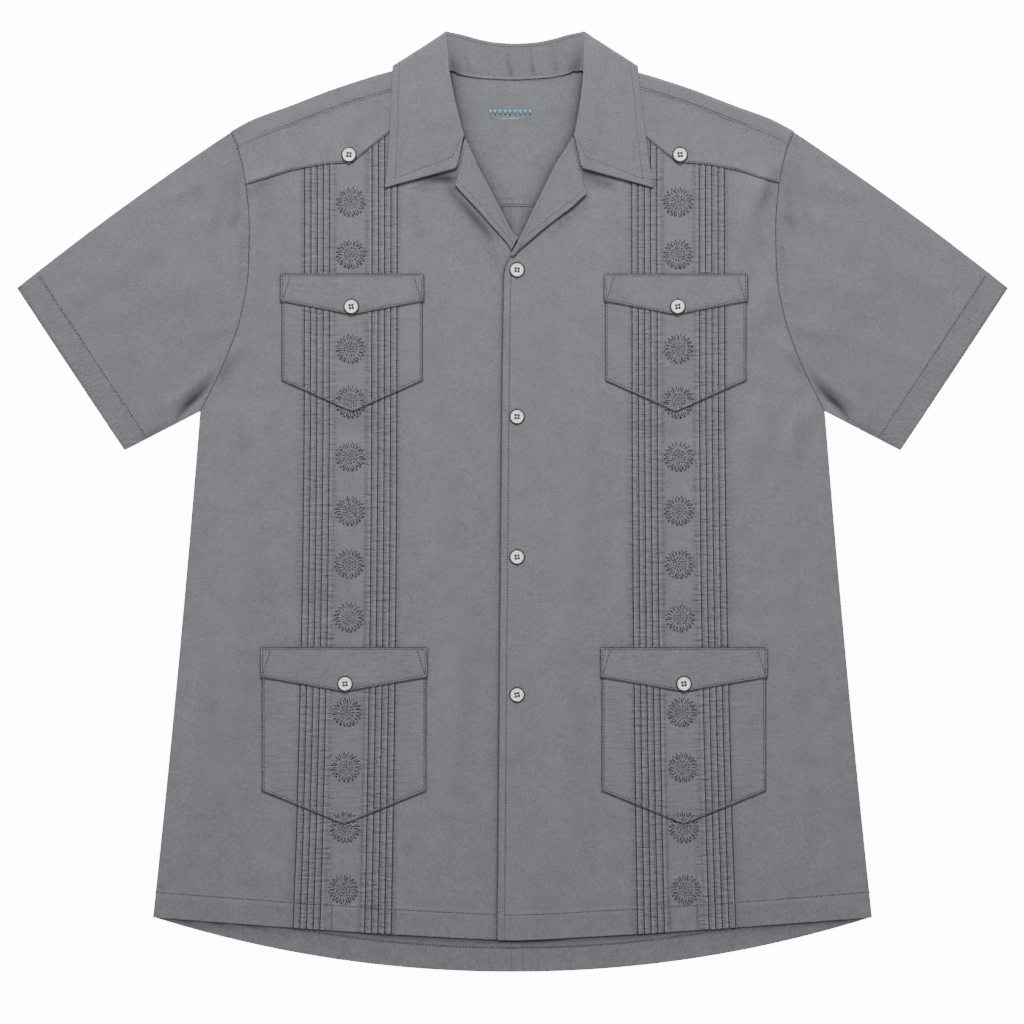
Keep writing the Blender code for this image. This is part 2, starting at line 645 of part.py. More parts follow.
def button_maker(material):
    """The function that places a button: a dished disc with a rim, drilled by four holes."""
    top, rim = BUTTON_HEIGHT, BUTTON_RADIUS - BUTTON_RIM
    profile = [
        (BUTTON_RADIUS - 0.9, 0.0), (BUTTON_RADIUS, 0.8), (BUTTON_RADIUS - 0.2, top - 0.3),
        (BUTTON_RADIUS - 0.6, top), (rim, top - BUTTON_DISH),
    ]
    offsets = (-BUTTON_HOLE_OFFSET, BUTTON_HOLE_OFFSET)
    places = [(x, y) for x in offsets for y in offsets]
    drill = [(BUTTON_HOLE_RADIUS, -1.0), (BUTTON_HOLE_RADIUS, top + 1.0)]
    cutter = link("button_holes", turned_mesh("button_holes", drill, HOLE_SIDES, places), material)
    cutter.hide_render = True
    cutter.display_type = "WIRE"
    blank = turned_mesh("button", profile, BUTTON_SIDES)
    disc = link("button_blank", blank, material)
    cut = disc.modifiers.new("holes", "BOOLEAN")
    cut.operation = "DIFFERENCE"
    cut.object = cutter
    bpy.context.view_layer.update()
    graph = bpy.context.evaluated_depsgraph_get()
    mesh = bpy.data.meshes.new_from_object(disc.evaluated_get(graph))
    mesh.name = "button"
    mesh.shade_smooth()
    mesh.set_sharp_from_angle(angle=np.radians(30))
    bpy.data.objects.remove(disc)
    bpy.data.objects.remove(cutter)

    def place(name, x, y, z):
        made = bpy.data.objects.new(name, mesh)
        made.location = (x * METRES, y * METRES, z * METRES)
        bpy.context.scene.collection.objects.link(made)

    return place


def buttons(material):
    """The front buttons, numbered from the neck down, then those of the yokes and the flaps."""
    place = button_maker(material)
    for number, y in enumerate(BUTTON_YS, 1):
        place(f"button_front_{number}", BUTTON_LINE_X, y, LAP_Z + STEP)
    for side in (LEFT, RIGHT):
        for name, spot, z in (
            ("yoke", YOKE_BUTTON, ON_TUCKS_Z + STEP),
            ("flap_upper", UPPER_FLAP_BUTTON, FLAP_Z + STEP),
            ("flap_lower", LOWER_FLAP_BUTTON, FLAP_Z + STEP),
        ):
            x = side * (spot.x + DECOR_SHIFT[side])
            place(f"button_{name}_{name_of(side)}", x, spot.y, z)


def main():
    for thing in list(bpy.data.objects):
        bpy.data.objects.remove(thing)
    cloth = cloth_material("grey_cloth", (0.225, 0.228, 0.242), 0.85)
    pearl = cloth_material("pearl_button", (0.78, 0.77, 0.74), 0.35)
    back(cloth)
    back_yoke(cloth)
    collar(cloth)
    for side in (LEFT, RIGHT):
        sleeve(side, cloth)
        front_panel(side, cloth)
        front_yoke(side, cloth)
        lapel(side, cloth)
        for level in POCKETS:
            pocket(level, side, cloth)
            flap(level, side, cloth)
    buttons(pearl)


main()
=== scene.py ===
"""Looks of a short-sleeved guayabera that lies buttoned and flat, face up.

Every piece of cloth is a thin closed shell on the form of its solid: a grid of points through the
middle of the cloth, given its thickness along its normals. Tucks, creases, stitches, embroidery
and buttons are worked out as whole arrays. Lengths are in millimetres until a mesh is made.
"""

import logging
import math
from dataclasses import dataclass
from enum import Enum
from typing import Callable, Iterable, NamedTuple, Sequence

import bpy
import numpy as np
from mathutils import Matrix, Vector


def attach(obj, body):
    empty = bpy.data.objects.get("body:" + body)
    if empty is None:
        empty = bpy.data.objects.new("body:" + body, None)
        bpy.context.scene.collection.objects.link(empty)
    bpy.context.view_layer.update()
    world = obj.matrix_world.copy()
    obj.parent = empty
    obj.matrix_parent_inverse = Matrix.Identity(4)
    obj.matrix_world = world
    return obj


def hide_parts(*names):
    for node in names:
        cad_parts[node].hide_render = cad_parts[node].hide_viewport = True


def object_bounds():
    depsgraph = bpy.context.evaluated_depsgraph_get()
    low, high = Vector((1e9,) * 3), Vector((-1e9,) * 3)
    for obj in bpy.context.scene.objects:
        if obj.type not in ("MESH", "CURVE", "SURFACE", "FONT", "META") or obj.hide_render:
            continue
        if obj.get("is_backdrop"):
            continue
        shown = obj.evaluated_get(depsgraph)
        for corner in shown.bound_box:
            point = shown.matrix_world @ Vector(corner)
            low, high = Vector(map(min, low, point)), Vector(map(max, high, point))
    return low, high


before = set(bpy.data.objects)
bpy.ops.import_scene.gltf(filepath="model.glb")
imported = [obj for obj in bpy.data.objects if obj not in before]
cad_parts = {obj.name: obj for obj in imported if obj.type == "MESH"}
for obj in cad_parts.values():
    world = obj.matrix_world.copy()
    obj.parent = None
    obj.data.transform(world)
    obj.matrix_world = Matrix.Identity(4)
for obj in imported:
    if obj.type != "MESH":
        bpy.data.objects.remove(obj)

LOG = logging.getLogger("guayabera")
Array = np.ndarray
Rows = tuple[tuple[float, float], ...]
Triple = tuple[float, float, float]
Surface = Callable[[Array, Array], Array]

METRES = 0.001
BODY = "root"
CLOTH_SLOT = "grey_cloth"
THREAD_SLOT = "grey_thread"
BUTTON_SLOT = "pearl_button"

# Layers of the laid shirt, as heights of the middle of each cloth.
WALL = 1.0
STEP = 1.3
SEAM = 0.15
BACK_MID = WALL / 2
FRONT_MID = BACK_MID + STEP
LAP_MID = FRONT_MID + STEP
TUCK_SPACE = 0.5
ON_TUCKS_MID = LAP_MID + TUCK_SPACE
FLAP_MID = ON_TUCKS_MID + STEP + TUCK_SPACE

# Places of extra grid lines next to a turned edge, which is rounded over ROUND.
EDGE = (0.0, 0.08, 0.25, 0.55, 1.0)
ROUND = 0.55
HALF_CLOTH = 0.42
UP = np.array([0.0, 0.0, 1.0])
# How often a grid whose columns and rows depend on each other is worked out again.
SETTLING = 7
# Seeds of the rosettes: the space between them, and where those of the pockets start.
SEED_STEP = 40
POCKET_SEED = 1000


class Side(Enum):
    """Side of the shirt as seen from above, with the sign of its X."""

    LEFT = -1
    RIGHT = 1

    @property
    def word(self) -> str:
        """The side in lower case, as node names have it."""
        return self.name.lower()


class Level(Enum):
    """The two heights at which pockets are sewn."""

    UPPER = "upper"
    LOWER = "lower"


# ---------------------------------------------------------------- curves and grids


def smooth(xs: Sequence[float] | Array, ys: Sequence | Array, at: Array | float) -> Array:
    """Read a table as a smooth curve that never overshoots its rows.

    Between two rows runs a cubic whose slope at a row is the harmonic mean of the slopes of the
    two chords that meet there, or 0 where they turn back.

    Args:
        xs: place of each row.
        ys: value of each row, a number or an array.
        at: places to read, of any shape.

    Returns:
        The values there, with the shape of at followed by that of one value.
    """
    xs, ys, at = np.asarray(xs, float), np.asarray(ys, float), np.asarray(at, float)
    order = np.argsort(xs)
    xs, ys = xs[order], ys[order]
    tail = (1,) * (ys.ndim - 1)
    rise = np.diff(ys, axis=0) / np.diff(xs).reshape(-1, *tail)
    before, after = rise[:-1], rise[1:]
    same = before * after > 0
    inner = np.where(same, 2 * before * after / np.where(same, before + after, 1.0), 0.0)
    slopes = np.concatenate([rise[:1], inner, rise[-1:]])
    at = np.clip(at, xs[0], xs[-1])
    cell = np.clip(np.searchsorted(xs, at) - 1, 0, len(xs) - 2)
    width = (xs[cell + 1] - xs[cell]).reshape((*at.shape, *tail))
    t = ((at - xs[cell]) / (xs[cell + 1] - xs[cell])).reshape((*at.shape, *tail))
    start = (2 * t**3 - 3 * t**2 + 1) * ys[cell] + (t**3 - 2 * t**2 + t) * width * slopes[cell]
    return start + (3 * t**2 - 2 * t**3) * ys[cell + 1] + (t**3 - t**2) * width * slopes[cell + 1]


def read(rows: Rows, at: Array | float) -> Array:
    """Read y at x along the smooth curve through (x, y) rows."""
    return smooth([row[0] for row in rows], [row[1] for row in rows], at)


def read_back(rows: Rows, at: Array | float) -> Array:
    """Read x at y along the smooth curve through (x, y) rows."""
    return smooth([row[1] for row in rows], [row[0] for row in rows], at)


def straight_rows(xs: Sequence[float] | Array, ys: Sequence | Array, at: Array) -> Array:
    """Read a table of arrays along straight lines between its rows."""
    xs, ys = np.asarray(xs, float), np.asarray(ys, float)
    cell = np.clip(np.searchsorted(xs, at) - 1, 0, len(xs) - 2)
    t = ((at - xs[cell]) / (xs[cell + 1] - xs[cell])).reshape((-1, *[1] * (ys.ndim - 1)))
    return ys[cell] * (1 - t) + ys[cell + 1] * t


def ease(t: Array | float) -> Array:
    """Smooth step: 0 below 0, 1 above 1, and 3t^2 - 2t^3 between."""
    t = np.clip(t, 0.0, 1.0)
    return t * t * (3 - 2 * t)


def with_edges(start: Array, stop: Array, count: int, first: bool = True,
               last: bool = True) -> Array:
    """Lines from start to stop, evenly spaced, with extra ones close to an edge.

    Args:
        start: coordinate at the first line, for each station.
        stop: coordinate at the last line, for each station.
        count: number of evenly spaced lines between the edges.
        first: whether the first line is an edge.
        last: whether the last line is an edge.

    Returns:
        Coordinates, lines x stations.
    """
    start, stop = np.atleast_1d(start).astype(float), np.atleast_1d(stop).astype(float)
    away = np.sign(stop - start) * np.minimum(1.0, np.abs(stop - start) / 4)
    head = [start + away * d for d in EDGE[:-1]] if first else []
    tail = [stop - away * d for d in EDGE[-2::-1]] if last else []
    low = start + away * (EDGE[-1] if first else 0.0)
    high = stop - away * (EDGE[-1] if last else 0.0)
    middle = [low + (high - low) * t for t in np.linspace(0, 1, count)]
    return np.array(head + middle + tail)


def bell(value: Array, width: float, middle: Array | float = 0.0) -> Array:
    """A smooth bump 1 high round a middle, fallen to 1/e a width away."""
    return np.exp(-(((value - middle) / width) ** 2))


def nearest(places: Array, place: float) -> int:
    """Number of the line nearest to a place."""
    return int(np.argmin(np.abs(places - place)))


def shares(length: float, count: int) -> Array:
    """A column of shares from 0 to 1, with extra ones close to both edges of a length."""
    return with_edges(np.array([0.0]), np.array([length]), count)[:, :1] / length


def laid(x: Array, y: Array, top: Surface, rise: float = 0.0) -> Array:
    """Points of a line on a surface, raised a little."""
    return np.stack([x, y, top(x, y) + rise], 1)


# ---------------------------------------------------------------- the shape of the body


@dataclass(frozen=True)
class Outline:
    """Outline of the laid body and the lines that its pieces share, as on the solids."""

    shoulder: Rows = ((40, 392), (64, 388), (103, 379.6), (154, 364.3), (194, 349), (229, 336),
                      (248, 325.8))
    armhole: Rows = (
        (248, 325.8), (241, 310), (234.5, 279), (231.5, 241), (232.5, 203), (239, 164), (249, 134),
        (261.5, 106), (275, 79),
    )
    left_edge: Rows = (
        (-68, 390), (-60, 350), (-45, 318), (-18.5, 265), (1.5, 227), (12, 208), (20, 190),
        (20, -400),
    )
    right_edge: Rows = (
        (71, 390), (64, 350), (55.5, 323), (41.5, 298), (22, 259), (5.6, 226), (-3, 213),
        (-7.5, 200),
        (-10.1, -9), (-13.4, -400),
    )
    neckline: Rows = ((0, 369.9), (31, 371.8), (50, 375.6), (58, 380.5))
    yoke_edge: Rows = (
        (60, 352), (107, 325.4), (141, 298.2), (160, 296.8), (182, 293.4), (200, 289.4), (216, 284),
        (235, 279),
    )
    underarm: tuple[float, float] = (275.0, 79.0)
    hem_corner: tuple[float, float] = (316.5, -365.4)
    side_hollow: float = 1.6
    front_drop: float = 20.3
    back_drop: float = 48.3
    yoke_seam: float = 259.7
    neck_half: float = 58.0
    left_forward: float = 16.5
    right_forward: float = 13.0
    lift_y: tuple[float, float] = (330.0, 350.0)
    lift_x: tuple[float, float] = (115.0, 137.0)
    lap_end: float = 36.0
    lap_ramp: float = 16.0

    def shoulder_y(self, x: Array) -> Array:
        """Y of the shoulder fold at x."""
        return read(self.shoulder, np.abs(x))

    def forward_seam_y(self, x: Array, side: Side) -> Array:
        """Y of the forward shoulder seam at x."""
        return self.shoulder_y(x) - (self.left_forward if side is Side.LEFT else self.right_forward)

    def edge_x(self, y: Array) -> Array:
        """Distance out to the armhole seam, or to the side seam below the underarm."""
        down = np.clip((self.underarm[1] - y) / (self.underarm[1] - self.hem_corner[1]), 0, 1.2)
        run = self.hem_corner[0] - self.underarm[0]
        side = self.underarm[0] + run * down - 4 * self.side_hollow * down * (1 - down)
        return np.where(np.asarray(y) > self.underarm[1], read_back(self.armhole, y), side)

    def front_hem_y(self, x: Array) -> Array:
        """Y of the front hem: nearly straight, lowest at the centre."""
        out = np.minimum(np.abs(x) / self.hem_corner[0], 1)
        return self.hem_corner[1] - self.front_drop * (1 - out**1.25)

    def back_hem_y(self, x: Array) -> Array:
        """Y of the back hem: a longer, rounded tail."""
        out = np.minimum(np.abs(x) / self.hem_corner[0], 1)
        return self.hem_corner[1] - self.back_drop * (1 - out**2.05)

    def inner_x(self, side: Side, y: Array) -> Array:
        """Signed distance of a front's inner edge from the centre, towards its own side."""
        rows = self.left_edge if side is Side.LEFT else self.right_edge
        return side.value * read_back(rows, y)

    def lift(self, x: Array, y: Array) -> Array:
        """Share of the rise over the hidden fall of the collar, along straight ramps."""
        up = np.clip((y - self.lift_y[0]) / (self.lift_y[1] - self.lift_y[0]), 0, 1)
        return up * np.clip((self.lift_x[1] - np.abs(x)) / (self.lift_x[1] - self.lift_x[0]), 0, 1)

    def lap(self, x: Array, side: Side) -> Array:
        """Rise of the right front where it laps over the left one."""
        ramp = np.clip(1 - (x - self.lap_end) / self.lap_ramp, 0, 1)
        return STEP * ease(ramp) * (side is Side.RIGHT)


OUTLINE = Outline()


class Crease(NamedTuple):
    """One soft ridge or trough: a bent line with a width, and a height, negative for a trough."""

    x0: float
    y0: float
    x1: float
    y1: float
    width: float
    height: float
    bow: float = 0.0


def crease_height(rows: Iterable[Crease], x: Array, y: Array) -> Array:
    """Sum of creases, each a bell across its line that fades in and out along it.

    Across the line the height falls as exp(-(distance / width)^2), and along it as the sine of
    pi t to the power 0.8, with t from 0 at one end to 1 at the other. The line bends sideways
    by bow at its middle, as a parabola.

    Args:
        rows: the creases.
        x: X of the points.
        y: Y of the points.

    Returns:
        Height at each point.
    """
    total = np.zeros(np.broadcast(x, y).shape)
    for row in rows:
        length = math.hypot(row.x1 - row.x0, row.y1 - row.y0)
        ux, uy = (row.x1 - row.x0) / length, (row.y1 - row.y0) / length
        t = np.clip(((x - row.x0) * ux + (y - row.y0) * uy) / length, 0, 1)
        off = (x - row.x0) * -uy + (y - row.y0) * ux - 4 * row.bow * t * (1 - t)
        total = total + row.height * bell(off, row.width) * np.sin(np.pi * t) ** 0.8
    return total


@dataclass(frozen=True)
class Ground:
    """How far the cloth of the fronts stands off the back: a little air, and the creases."""

    air: float = 1.7
    air_reach: float = 42.0
    neck: tuple[float, float] = (4.0, 300.0)
    neck_reach: tuple[float, float] = (95.0, 170.0)
    sharpness: float = 1.5
    # Painted shadows under the collar's leaves and the lapels, and painted shade in the pulls
    # beside the armholes.
    shades: tuple[Crease, ...] = (
        Crease(-40, 290, -90, 278, 4.0, -0.75), Crease(56, 289, 92, 279, 4.0, -0.7),
        Crease(-57, 276, -14, 228, 4.5, -0.6), Crease(-58, 288, -50, 266, 6.0, -0.3),
        Crease(68, 266, 28, 234, 3.0, -0.35), Crease(-36, 250, -12, 208, 8.0, -0.16),
        Crease(-244, 292, -226, 256, 3.0, -0.16), Crease(-236, 268, -205, 292, 3.0, -0.08),
        Crease(-250, 330, -232, 322, 3.0, -0.2), Crease(238, 300, 218, 262, 3.5, -0.13),
        Crease(258, 108, 240, 132, 4.0, -0.2), Crease(-262, 100, -246, 128, 4.0, -0.2),
        Crease(-222, 226, -200, 190, 8.0, -0.06), Crease(-228, 170, -196, 128, 9.0, -0.05),
        Crease(222, 240, 196, 200, 8.0, -0.06), Crease(230, 178, 200, 120, 9.0, -0.05),
        Crease(-96, 262, -70, 226, 7.0, -0.05), Crease(78, 250, 70, 200, 7.0, -0.05),
    )
    creases: tuple[Crease, ...] = (
        # The chest, from each armhole inwards.
        Crease(-252, 300, -214, 250, 9, 1.6, 4), Crease(-246, 270, -198, 292, 6, 1.0),
        Crease(-236, 226, -205, 160, 12, 1.0, -5), Crease(-262, 104, -232, 140, 8, 1.8, 4),
        Crease(-258, 86, -240, 40, 10, 1.4, 6), Crease(-225, 90, -200, 10, 16, 0.8, 4),
        Crease(238, 300, 206, 240, 9, 1.5, -4), Crease(236, 262, 196, 285, 6, 0.9),
        Crease(233, 214, 214, 150, 11, 1.2, 5), Crease(262, 106, 226, 150, 8, 1.9, -4),
        Crease(262, 84, 246, 34, 9, 1.4, -6), Crease(232, 96, 210, 12, 15, 0.8, -4),
        # Long drape lines down the fronts.
        Crease(-92, 240, -70, 60, 12, 0.8, 3), Crease(-60, 100, -48, -140, 14, 0.7, -4),
        Crease(-40, -60, -62, -330, 13, 0.9, 3), Crease(-110, -40, -96, -120, 10, 0.6, 2),
        Crease(-230, 20, -262, -300, 18, 1.0, 5), Crease(-262, -60, -284, -330, 12, 0.8, -3),
        Crease(78, 280, 88, 150, 10, 0.8, 4), Crease(60, 110, 52, -140, 14, 0.7, 4),
        Crease(44, -90, 60, -330, 13, 0.9, -3), Crease(102, -20, 96, -120, 10, 0.6, -2),
        Crease(236, 10, 264, -290, 18, 1.0, -5), Crease(266, -80, 288, -330, 12, 0.8, 3),
        # Short cross folds where the shirt was once folded for packing.
        Crease(-210, 60, -90, 56, 9, -0.7, 3), Crease(90, 58, 214, 62, 9, -0.7, -3),
        Crease(-262, -96, -90, -92, 10, -0.6, 3), Crease(92, -94, 262, -98, 10, -0.6, -3),
    )

    def height(self, x: Array, y: Array) -> Array:
        """Height of the air and the creases under the fronts.

        The air eases in over its reach from the side edges and the hem, and is left out close
        to the neck, where the collar and the lapels lie.

        Args:
            x: signed X of the points.
            y: Y of the points.

        Returns:
            Height above the layer's own plane.
        """
        x, y = np.broadcast_arrays(x, y)
        side = ease((OUTLINE.edge_x(y) - np.abs(x)) / self.air_reach)
        hem = ease((y - OUTLINE.front_hem_y(x)) / self.air_reach)
        top = ease((OUTLINE.shoulder_y(x) - y - 14) / self.air_reach)
        far = np.hypot(x - self.neck[0], y - self.neck[1])
        neck = ease((far - self.neck_reach[0]) / (self.neck_reach[1] - self.neck_reach[0]))
        inside = side * hem * top * neck
        folds = crease_height(self.creases, x, y)
        return self.air * inside + self.sharpness * folds * ease(inside * 3)

    def tone(self, x: Array, y: Array) -> Array:
        """Tone of the cloth: painted shade on one flank of each crease and painted light on the
        other, and painted shadows in its shades.
        """
        slope = crease_height(self.creases, x + 2.5, y - 2.0) - crease_height(self.creases, x, y)
        return 1 + 0.3 * np.clip(slope, -0.9, 0.6) + crease_height(self.shades, x, y)


GROUND = Ground()


@dataclass(frozen=True)
class Tucks:
    """Two groups of narrow tucks, sewn down and folded away from the embroidery between them."""

    count: int = 5
    pitch: float = 5.5
    rise: float = 0.7
    inner: float = 101.5
    outer: float = 160.4
    sewn: float = 3.7
    top: float = 265.0
    flare: float = 5.0
    flare_more: float = 3.6
    flare_power: float = 2.5
    right_shift: float = 3.5
    # Across one tuck, from the shadow in front of its fold to the cloth behind its seam.
    reach: tuple[float, ...] = (-0.8, -0.62, -0.35, 0.5, 0.58, 0.7, 1.05, 1.8, 2.8, 3.5, 3.75, 4.0,
                                4.66)
    height: tuple[float, ...] = (0.04, -0.1, -0.2, -0.2, 0.3, 0.85, 1.0, 0.95, 0.8, 0.45, 0.12, 0.1,
                                 0.06)
    # Tone of each line: painted shadow in front of the fold, and a painted highlight along its
    # edge.
    tone: tuple[float, ...] = (0.85, 0.35, 0.15, 0.15, 0.5, 1.1, 1.2, 1.08, 1.0, 0.95, 0.78, 0.94,
                               0.97)

    def shift(self, side: Side) -> float:
        """How much further out the tucks of the right front lie."""
        return self.right_shift if side is Side.RIGHT else 0.0

    def line_x(self, start: Array | float, y: Array, side: Side) -> Array:
        """Distance from the centre of a line that starts there and flares towards the hem."""
        down = (self.top - y) / (self.top - OUTLINE.hem_corner[1])
        down = np.clip(down, 0, 1.1) ** self.flare_power
        share = (np.asarray(start) - self.inner) / (self.outer - self.inner)
        return self.shift(side) + start + (self.flare + self.flare_more * share) * down

    def folds(self) -> list[tuple[float, int]]:
        """Each tuck's fold edge and the direction in which its cloth lies, 1 outwards."""
        inner = [(self.inner + i * self.pitch, 1) for i in range(self.count)]
        return inner + [(self.outer + i * self.pitch, -1) for i in range(self.count)]

    def columns(self) -> tuple[Array, Array, Array]:
        """Grid lines across both groups.

        Returns:
            Their starts, their heights and their tones, in order outwards.
        """
        lines = [
            (fold + way * s, self.rise * h, tone)
            for fold, way in self.folds()
            for s, h, tone in zip(self.reach, self.height, self.tone)
        ]
        table = np.array(sorted(lines))
        return table[:, 0], table[:, 1], table[:, 2]

    @staticmethod
    def among(parts: Sequence[Array], values: Array, blank: float) -> Array:
        """A value for every column of a grid with tucks.

        Args:
            parts: the columns before, between and behind the two groups.
            values: value of each column of the tucks.
            blank: value of all other columns.

        Returns:
            The values in the columns' order.
        """
        before, between, behind = (np.full(part.shape[1], blank) for part in parts)
        half = values.size // 2
        return np.concatenate([before, values[:half], between, values[half:], behind])

    def middle(self) -> float:
        """Start of the line down the middle of the embroidered strip."""
        first = self.inner + (self.count - 1) * self.pitch + self.sewn
        return (first + self.outer - self.sewn) / 2


TUCKS = Tucks()


# ---------------------------------------------------------------- shader maths


class Socket:
    """A shader value that turns Python arithmetic into Math nodes."""

    def __init__(self, tree: "Tree", output: bpy.types.NodeSocket) -> None:
        """Wrap one output of a node of the tree."""
        self.tree, self.output = tree, output

    def math(self, operation: str, *others: "Socket | float") -> "Socket":
        """One Math node on this value and the others."""
        values = dict(enumerate((self, *others)))
        return self.tree.node("ShaderNodeMath", {"operation": operation}, values)

    def __add__(self, other: "Socket | float") -> "Socket":
        """This value plus another."""
        return self.math("ADD", other)

    def __sub__(self, other: "Socket | float") -> "Socket":
        """This value minus another."""
        return self.math("SUBTRACT", other)

    def __mul__(self, other: "Socket | float") -> "Socket":
        """This value times another."""
        return self.math("MULTIPLY", other)

    def sin(self) -> "Socket":
        """The sine of this value."""
        return self.math("SINE")

    def clamp(self) -> "Socket":
        """This value kept between 0 and 1."""
        return self.math("MAXIMUM", 0.0).math("MINIMUM", 1.0)


class Tree:
    """The node tree of one new material, with its Principled shader."""

    def __init__(self, name: str) -> None:
        """Make the material and find its shader."""
        self.material = bpy.data.materials.new(name)
        self.material.use_nodes = True
        self.nodes = self.material.node_tree.nodes
        self.links = self.material.node_tree.links
        self.shader = self.nodes["Principled BSDF"]

    def node(self, kind: str, settings: dict, sockets: dict, output: int | str = 0) -> Socket:
        """Add a node.

        Args:
            kind: the node's type.
            settings: properties of the node, set first.
            sockets: inputs by name or number, each a value or a link.
            output: which output to return.

        Returns:
            That output.
        """
        made = self.nodes.new(kind)
        for key, value in settings.items():
            setattr(made, key, value)
        for key, value in sockets.items():
            if isinstance(value, Socket):
                self.links.new(value.output, made.inputs[key])
            else:
                made.inputs[key].default_value = value
        return Socket(self, made.outputs[output])

    def noise(self, vector: Socket, scale: float, detail: float = 2.0) -> Socket:
        """Soft noise between 0 and 1."""
        sockets = {"Vector": vector, "Scale": scale, "Detail": detail, "Roughness": 0.6}
        return self.node("ShaderNodeTexNoise", {}, sockets)

    def stretch(self, vector: Socket, scale: Triple) -> Socket:
        """A vector multiplied by a scale along each axis."""
        return self.node("ShaderNodeVectorMath", {"operation": "MULTIPLY"}, {0: vector, 1: scale})

    def attribute(self, name: str) -> Socket:
        """A number kept on the mesh's points."""
        return self.node("ShaderNodeAttribute", {"attribute_name": name}, {}, "Fac")

    def grain(self) -> Socket:
        """The piece's own coordinates along and across its cloth, in metres."""
        return self.node("ShaderNodeUVMap", {"uv_map": Patch.grain_name}, {})

    def place(self) -> Socket:
        """Object coordinates, in metres."""
        return self.node("ShaderNodeTexCoord", {}, {}, "Object")

    def tint(self, colour: Triple, strength: Socket) -> Socket:
        """A colour scaled by a value, through Vector Math."""
        settings = {"operation": "SCALE"}
        return self.node("ShaderNodeVectorMath", settings, {0: colour, "Scale": strength})

    def set(self, **values: "Socket | float | tuple") -> None:
        """Give the shader its inputs, by name with _ for a space."""
        for key, value in values.items():
            target = self.shader.inputs[key.replace("_", " ")]
            if isinstance(value, Socket):
                self.links.new(value.output, target)
            else:
                target.default_value = value

    def bump(self, height: Socket, distance: float, under: Socket | None = None) -> Socket:
        """A Bump node on a height between 0 and 1, worth distance in metres, over another one."""
        sockets = {"Height": height, "Distance": distance, "Strength": 1.0}
        return self.node("ShaderNodeBump", {}, sockets | ({"Normal": under} if under else {}))


@dataclass(frozen=True)
class ClothFinish:
    """Fine heathered plain weave, matt, with painted shade in its seams and painted highlights on
    its folds.
    """

    name: str = "heathered_plain_weave"
    colour: Triple = (0.127, 0.128, 0.138)
    thread_pitch: float = 0.00046
    yarn_contrast: float = 0.3
    fleck_contrast: float = 0.85
    cloud_contrast: float = 0.3
    twill_pitch: float = 0.0024
    twill_contrast: float = 0.05
    weave_depth: float = 0.00007
    pucker_depth: float = 0.0034
    rumple_depth: float = 0.0016
    roughness: float = 0.88

    def material(self) -> bpy.types.Material:
        """Build the material.

        The weave's height is the product of two sines a thread apart, and a faint diagonal runs
        through its tone. Yarns differ in tone along their length, and fibres fleck them. Puckers
        are noise drawn out across the seams, where the cloth's attribute lets them show: level
        where it is positive, upright where it is negative. Faint rumples lie everywhere.

        Returns:
            The material.
        """
        tree = Tree(self.name)
        grain, place = tree.grain(), tree.place()
        split = tree.node("ShaderNodeSeparateXYZ", {}, {0: grain})
        along = Socket(tree, split.output.node.outputs[1])
        turn = math.pi / self.thread_pitch
        weave = (split * turn).sin() * (along * turn).sin() * 0.5 + 0.5
        warp = tree.noise(tree.stretch(grain, (1500.0, 120.0, 1.0)), 1.0)
        weft = tree.noise(tree.stretch(grain, (120.0, 1500.0, 1.0)), 1.0)
        fleck = tree.noise(place, 620.0, 3.0)
        cloud = tree.noise(place, 55.0, 4.0)
        yarn = (warp + weft - 1.0) * self.yarn_contrast
        twill = ((split + along) * (2 * math.pi / self.twill_pitch)).sin() * self.twill_contrast
        change = yarn + (fleck - 0.5) * self.fleck_contrast
        change = change + (cloud - 0.5) * self.cloud_contrast + twill
        # The tone attribute brings painted shade and painted highlights, times the yarns' own
        # changes in tone.
        painted_light_and_tone = tree.attribute(Patch.tone_name) * (change + 1.0)
        height = weave * 0.6 + (warp + weft) * 0.2
        pucker = tree.attribute(Patch.pucker_name)
        level = tree.noise(tree.stretch(grain, (70.0, 300.0, 1.0)), 1.0, 3.0) * pucker.clamp()
        upright = tree.noise(tree.stretch(grain, (240.0, 50.0, 1.0)), 1.0, 3.0)
        upright = upright * (pucker * -1.0).clamp()
        puckers = tree.bump(level + upright, self.pucker_depth)
        rumples = tree.bump(tree.noise(place, 38.0, 4.0), self.rumple_depth, puckers)
        tree.set(
            Base_Color=tree.tint(self.colour, painted_light_and_tone),
            Roughness=self.roughness,
            Sheen_Weight=0.12,
            Sheen_Roughness=0.5,
            Specular_IOR_Level=0.25,
            Normal=tree.bump(height, self.weave_depth, rumples),
        )
        return tree.material


@dataclass(frozen=True)
class ThreadFinish:
    """Twisted sewing thread with a soft sheen, in its own tone, which also carries painted shade
    and highlights.
    """

    name: str = "twisted_thread"
    colour: Triple = (0.134, 0.135, 0.145)
    roughness: float = 0.6
    fibre_contrast: float = 0.25

    def material(self) -> bpy.types.Material:
        """Build the material: the tone of each thread or bar, painted shade and highlights
        included, with fine fibre noise.
        """
        tree = Tree(self.name)
        fibre = tree.noise(tree.place(), 2500.0)
        # Painted shade of gap, hole and slit bars and painted highlights of fold bars and threads
        # come in with the tone.
        painted_light_and_tone = tree.attribute(Patch.tone_name) * ((fibre - 0.5) * self.fibre_contrast + 1.0)
        tree.set(
            Base_Color=tree.tint(self.colour, painted_light_and_tone),
            Roughness=self.roughness,
            Sheen_Weight=0.15,
            Normal=tree.bump(fibre, 0.00005),
        )
        return tree.material


